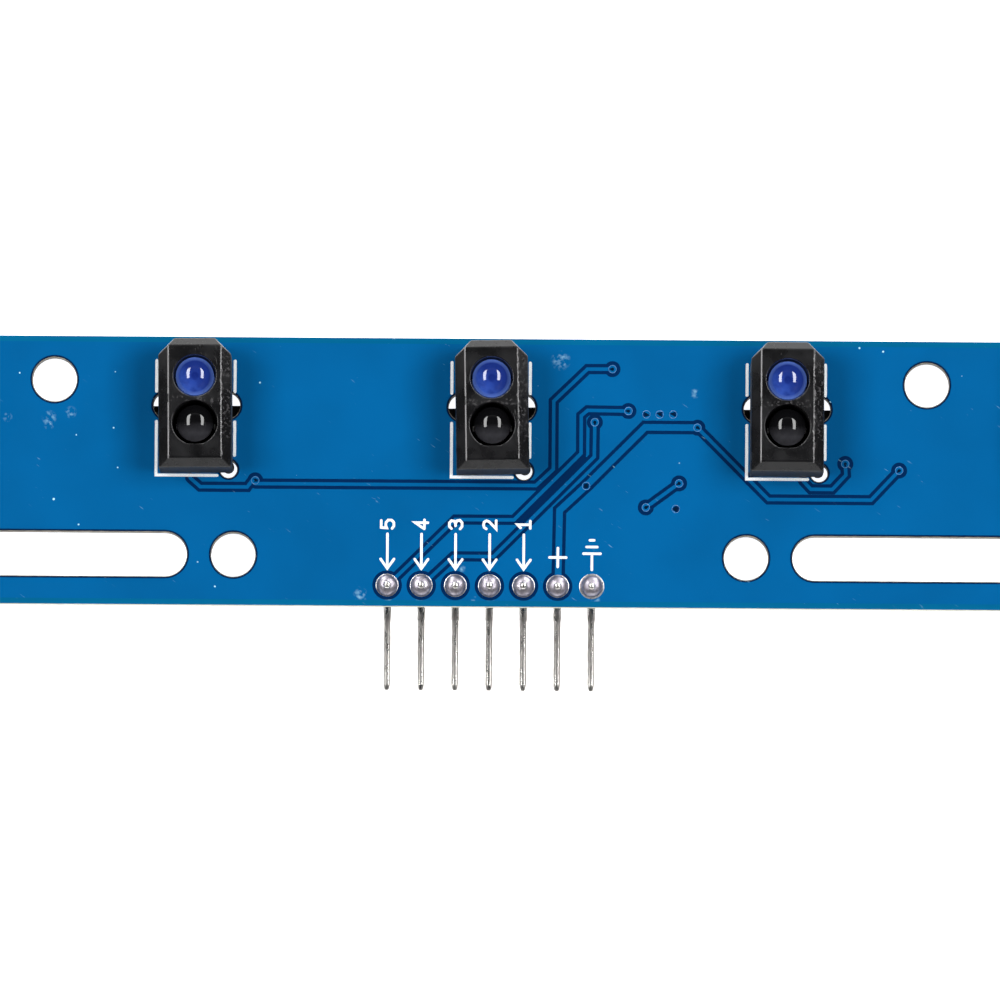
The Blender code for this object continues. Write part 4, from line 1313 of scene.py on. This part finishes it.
def build_components():
    under = Matrix.Translation((0.0, 0.0, UNDERSIDE))
    for number, channel in enumerate(CHANNELS, start=1):
        column = Matrix.Translation((chip_x(channel), 0.0, 0.0)) @ under
        for letter, y in zip("abc", RESISTOR_Y):
            name = f"resistor_{number}{letter}"
            place = column @ Matrix.Translation((0.0, y, 0.0))
            add_chip(f"{name}_chip", name, place, 0.5, [ALUMINA, FILM_BLACK])
        name = f"indicator_light_{number}"
        add_indicator(f"{name}_chip", name, column @ Matrix.Translation((0.0, INDICATOR_Y, 0.0)))
    for name, (x, y) in CAPACITOR_PLACES.items():
        place = under @ Matrix.Translation((x, y, 0.0))
        add_chip(f"{name}_chip", name, place, 0.9, [TAN_CERAMIC])
    place = under @ Matrix.Translation((*IC_CENTRE, 0.0))
    waist = -1.175
    body = place @ Matrix.Translation((0.0, 0.0, waist))
    add_piece("package_body", package_mesh(), [PACKAGE_BLACK], ["logic_ic"], body)
    add_piece("package_leads", package_leads_mesh(waist), [LEAD_TIN], ["logic_ic"], place)
    joint = joint_mesh()
    for number, (x, y) in enumerate(lead_places(), start=1):
        add_piece(f"lead_joint_{number}", joint, [SOLDER], (), under @ Matrix.Translation((x, y, 0.0)))


def build_back_legend():
    """The component side's printing: a frame round each chip and the package, and each channel's number."""
    strokes = []
    for channel in CHANNELS:
        x = chip_x(channel)
        for y in (*RESISTOR_Y, INDICATOR_Y):
            strokes += frame_strokes(x, y, 1.65, 0.98)
        strokes.append([(x - 0.3, INDICATOR_Y - 1.5), (x + 0.3, INDICATOR_Y - 1.5)])
        number = DIGITS[channel + 3]
        # Seen from below, the board's left and right change places.
        strokes += [[(sensor_x(channel) + 0.75 - 1.5 * u, -3.4 + 1.9 * v) for u, v in line] for line in number]
    for x, y in CAPACITOR_PLACES.values():
        strokes += frame_strokes(x, y, 1.65, 0.98)
    x, y = IC_CENTRE
    strokes += [[(x - 1.6, y + 4.75), (x + 1.6, y + 4.75)], [(x - 1.6, y - 4.75), (x + 1.6, y - 4.75)]]
    strokes.append([(x + 2.5, y + 4.75), (x + 2.6, y + 4.85)])
    outlines = [ribbon(points, 0.16) for points in strokes]
    covered, cut = Area(outlines), Area(openings(0.25))

    def ink_kind(x, y):
        return 0 if covered.covers(x, y) and not cut.covers(x, y) else None

    printed = sheet(outlines + openings(0.25), ink_kind)
    printed = thickened(printed, UNDERSIDE + 0.012, 0.03)
    add_piece("printed_back_legend", printed, [INK], ())


def frame_strokes(x, y, half_x, half_y):
    return [[(x - half_x, y + side * half_y), (x + half_x, y + side * half_y)] for side in (-1, 1)]


# ----------------------------------------------------------------------------------------------- stage
def build_stage():
    half = 1.6
    bm = bmesh.new()
    bmesh.ops.create_grid(bm, x_segments=1, y_segments=1, size=half)
    floor = bpy.data.objects.new("floor", mesh_of(bm, "floor"))
    bpy.context.scene.collection.objects.link(floor)
    floor.location.z = -0.00001
    material, tree, shader = new_material("white floor", roughness=0.9)
    shader.inputs["Base Color"].default_value = (0.6, 0.6, 0.6, 1.0)
    shader.inputs["Emission Color"].default_value = (1.0, 1.0, 1.0, 1.0)
    shader.inputs["Emission Strength"].default_value = 0.95
    floor.data.materials.append(material)

    world = bpy.data.worlds.new("studio")
    bpy.context.scene.world = world
    world.use_nodes = True
    tree = world.node_tree
    way = add_node(tree, "SeparateXYZ", {0: add_node(tree, "TexCoord").outputs["Generated"]})
    sideways, onward, height = way.outputs[0], way.outputs[1], way.outputs[2]
    # The studio is brightest behind the board, darker at its sides and dark overhead.
    level = span(tree, onward, -1.0, 1.0, 0.85, 1.45)
    level = maths(tree, "MULTIPLY", level, span(tree, maths(tree, "ABSOLUTE", sideways), 0.3, 0.95, 1.0, 0.12))
    level = maths(tree, "MULTIPLY", level, span(tree, height, 0.15, 0.75, 1.0, 0.02))
    tree.links.new(level, tree.nodes["Background"].inputs[1])
    tree.nodes["Background"].inputs[0].default_value = (1.0, 1.0, 1.0, 1.0)

    # The strips are what glossy surfaces mirror, and the softboxes overhead are what lights the rest.
    for name, start, end, power in STRIPS:
        for side in (-1, 1):
            mirrored = Vector((side, 1.0, 1.0))
            lamp = add_strip(f"{name}_{side}", start * mirrored, end * mirrored, STRIP_WIDTH, power)
            lamp.visible_diffuse = False
    along = Vector((0.0, SOFTBOX_SIZE / 2, 0.0))
    for name, centre, power in SOFTBOXES:
        lamp = add_strip(name, centre - along, centre + along, SOFTBOX_SIZE, power)
        lamp.visible_glossy = False


def add_strip(name, start, end, width, power):
    """A soft strip light whose long side runs between two points, facing the board."""
    light = bpy.data.lights.new(name, "AREA")
    light.shape = "RECTANGLE"
    light.size = (end - start).length
    light.size_y = width
    light.energy = power
    lamp = bpy.data.objects.new(name, light)
    bpy.context.scene.collection.objects.link(lamp)
    along = (end - start).normalized()
    centre = (start + end) / 2
    away = centre.normalized()
    away = (away - along * away.dot(along)).normalized()
    across = away.cross(along)
    turn = Matrix((along, across, away)).transposed().to_4x4()
    lamp.matrix_world = Matrix.Translation(centre) @ turn
    return lamp


def build_camera():
    tilt = math.radians(3.7)
    roll = math.radians(0.4)
    distance = 1.4
    target = BOARD_FRAME @ Vector((0.745, -2.04, 0.0))
    camera = bpy.data.objects.new("camera", bpy.data.cameras.new("camera"))
    bpy.context.scene.collection.objects.link(camera)
    camera.data.sensor_width = 36.0
    camera.data.lens = 36.0 * distance / 0.0745
    camera.data.clip_start = 0.01
    turn = Matrix.Rotation(tilt, 4, "X") @ Matrix.Rotation(roll, 4, "Z")
    camera.matrix_world = Matrix.Translation(target) @ turn @ Matrix.Translation((0.0, 0.0, distance))
    bpy.context.scene.camera = camera


build_board()
build_via_rings()
build_legend()
build_sensors()
build_header()
build_components()
build_back_legend()
build_stage()
build_camera()
bpy.context.scene.view_settings.view_transform = "Standard"

bpy.context.view_layer.update()
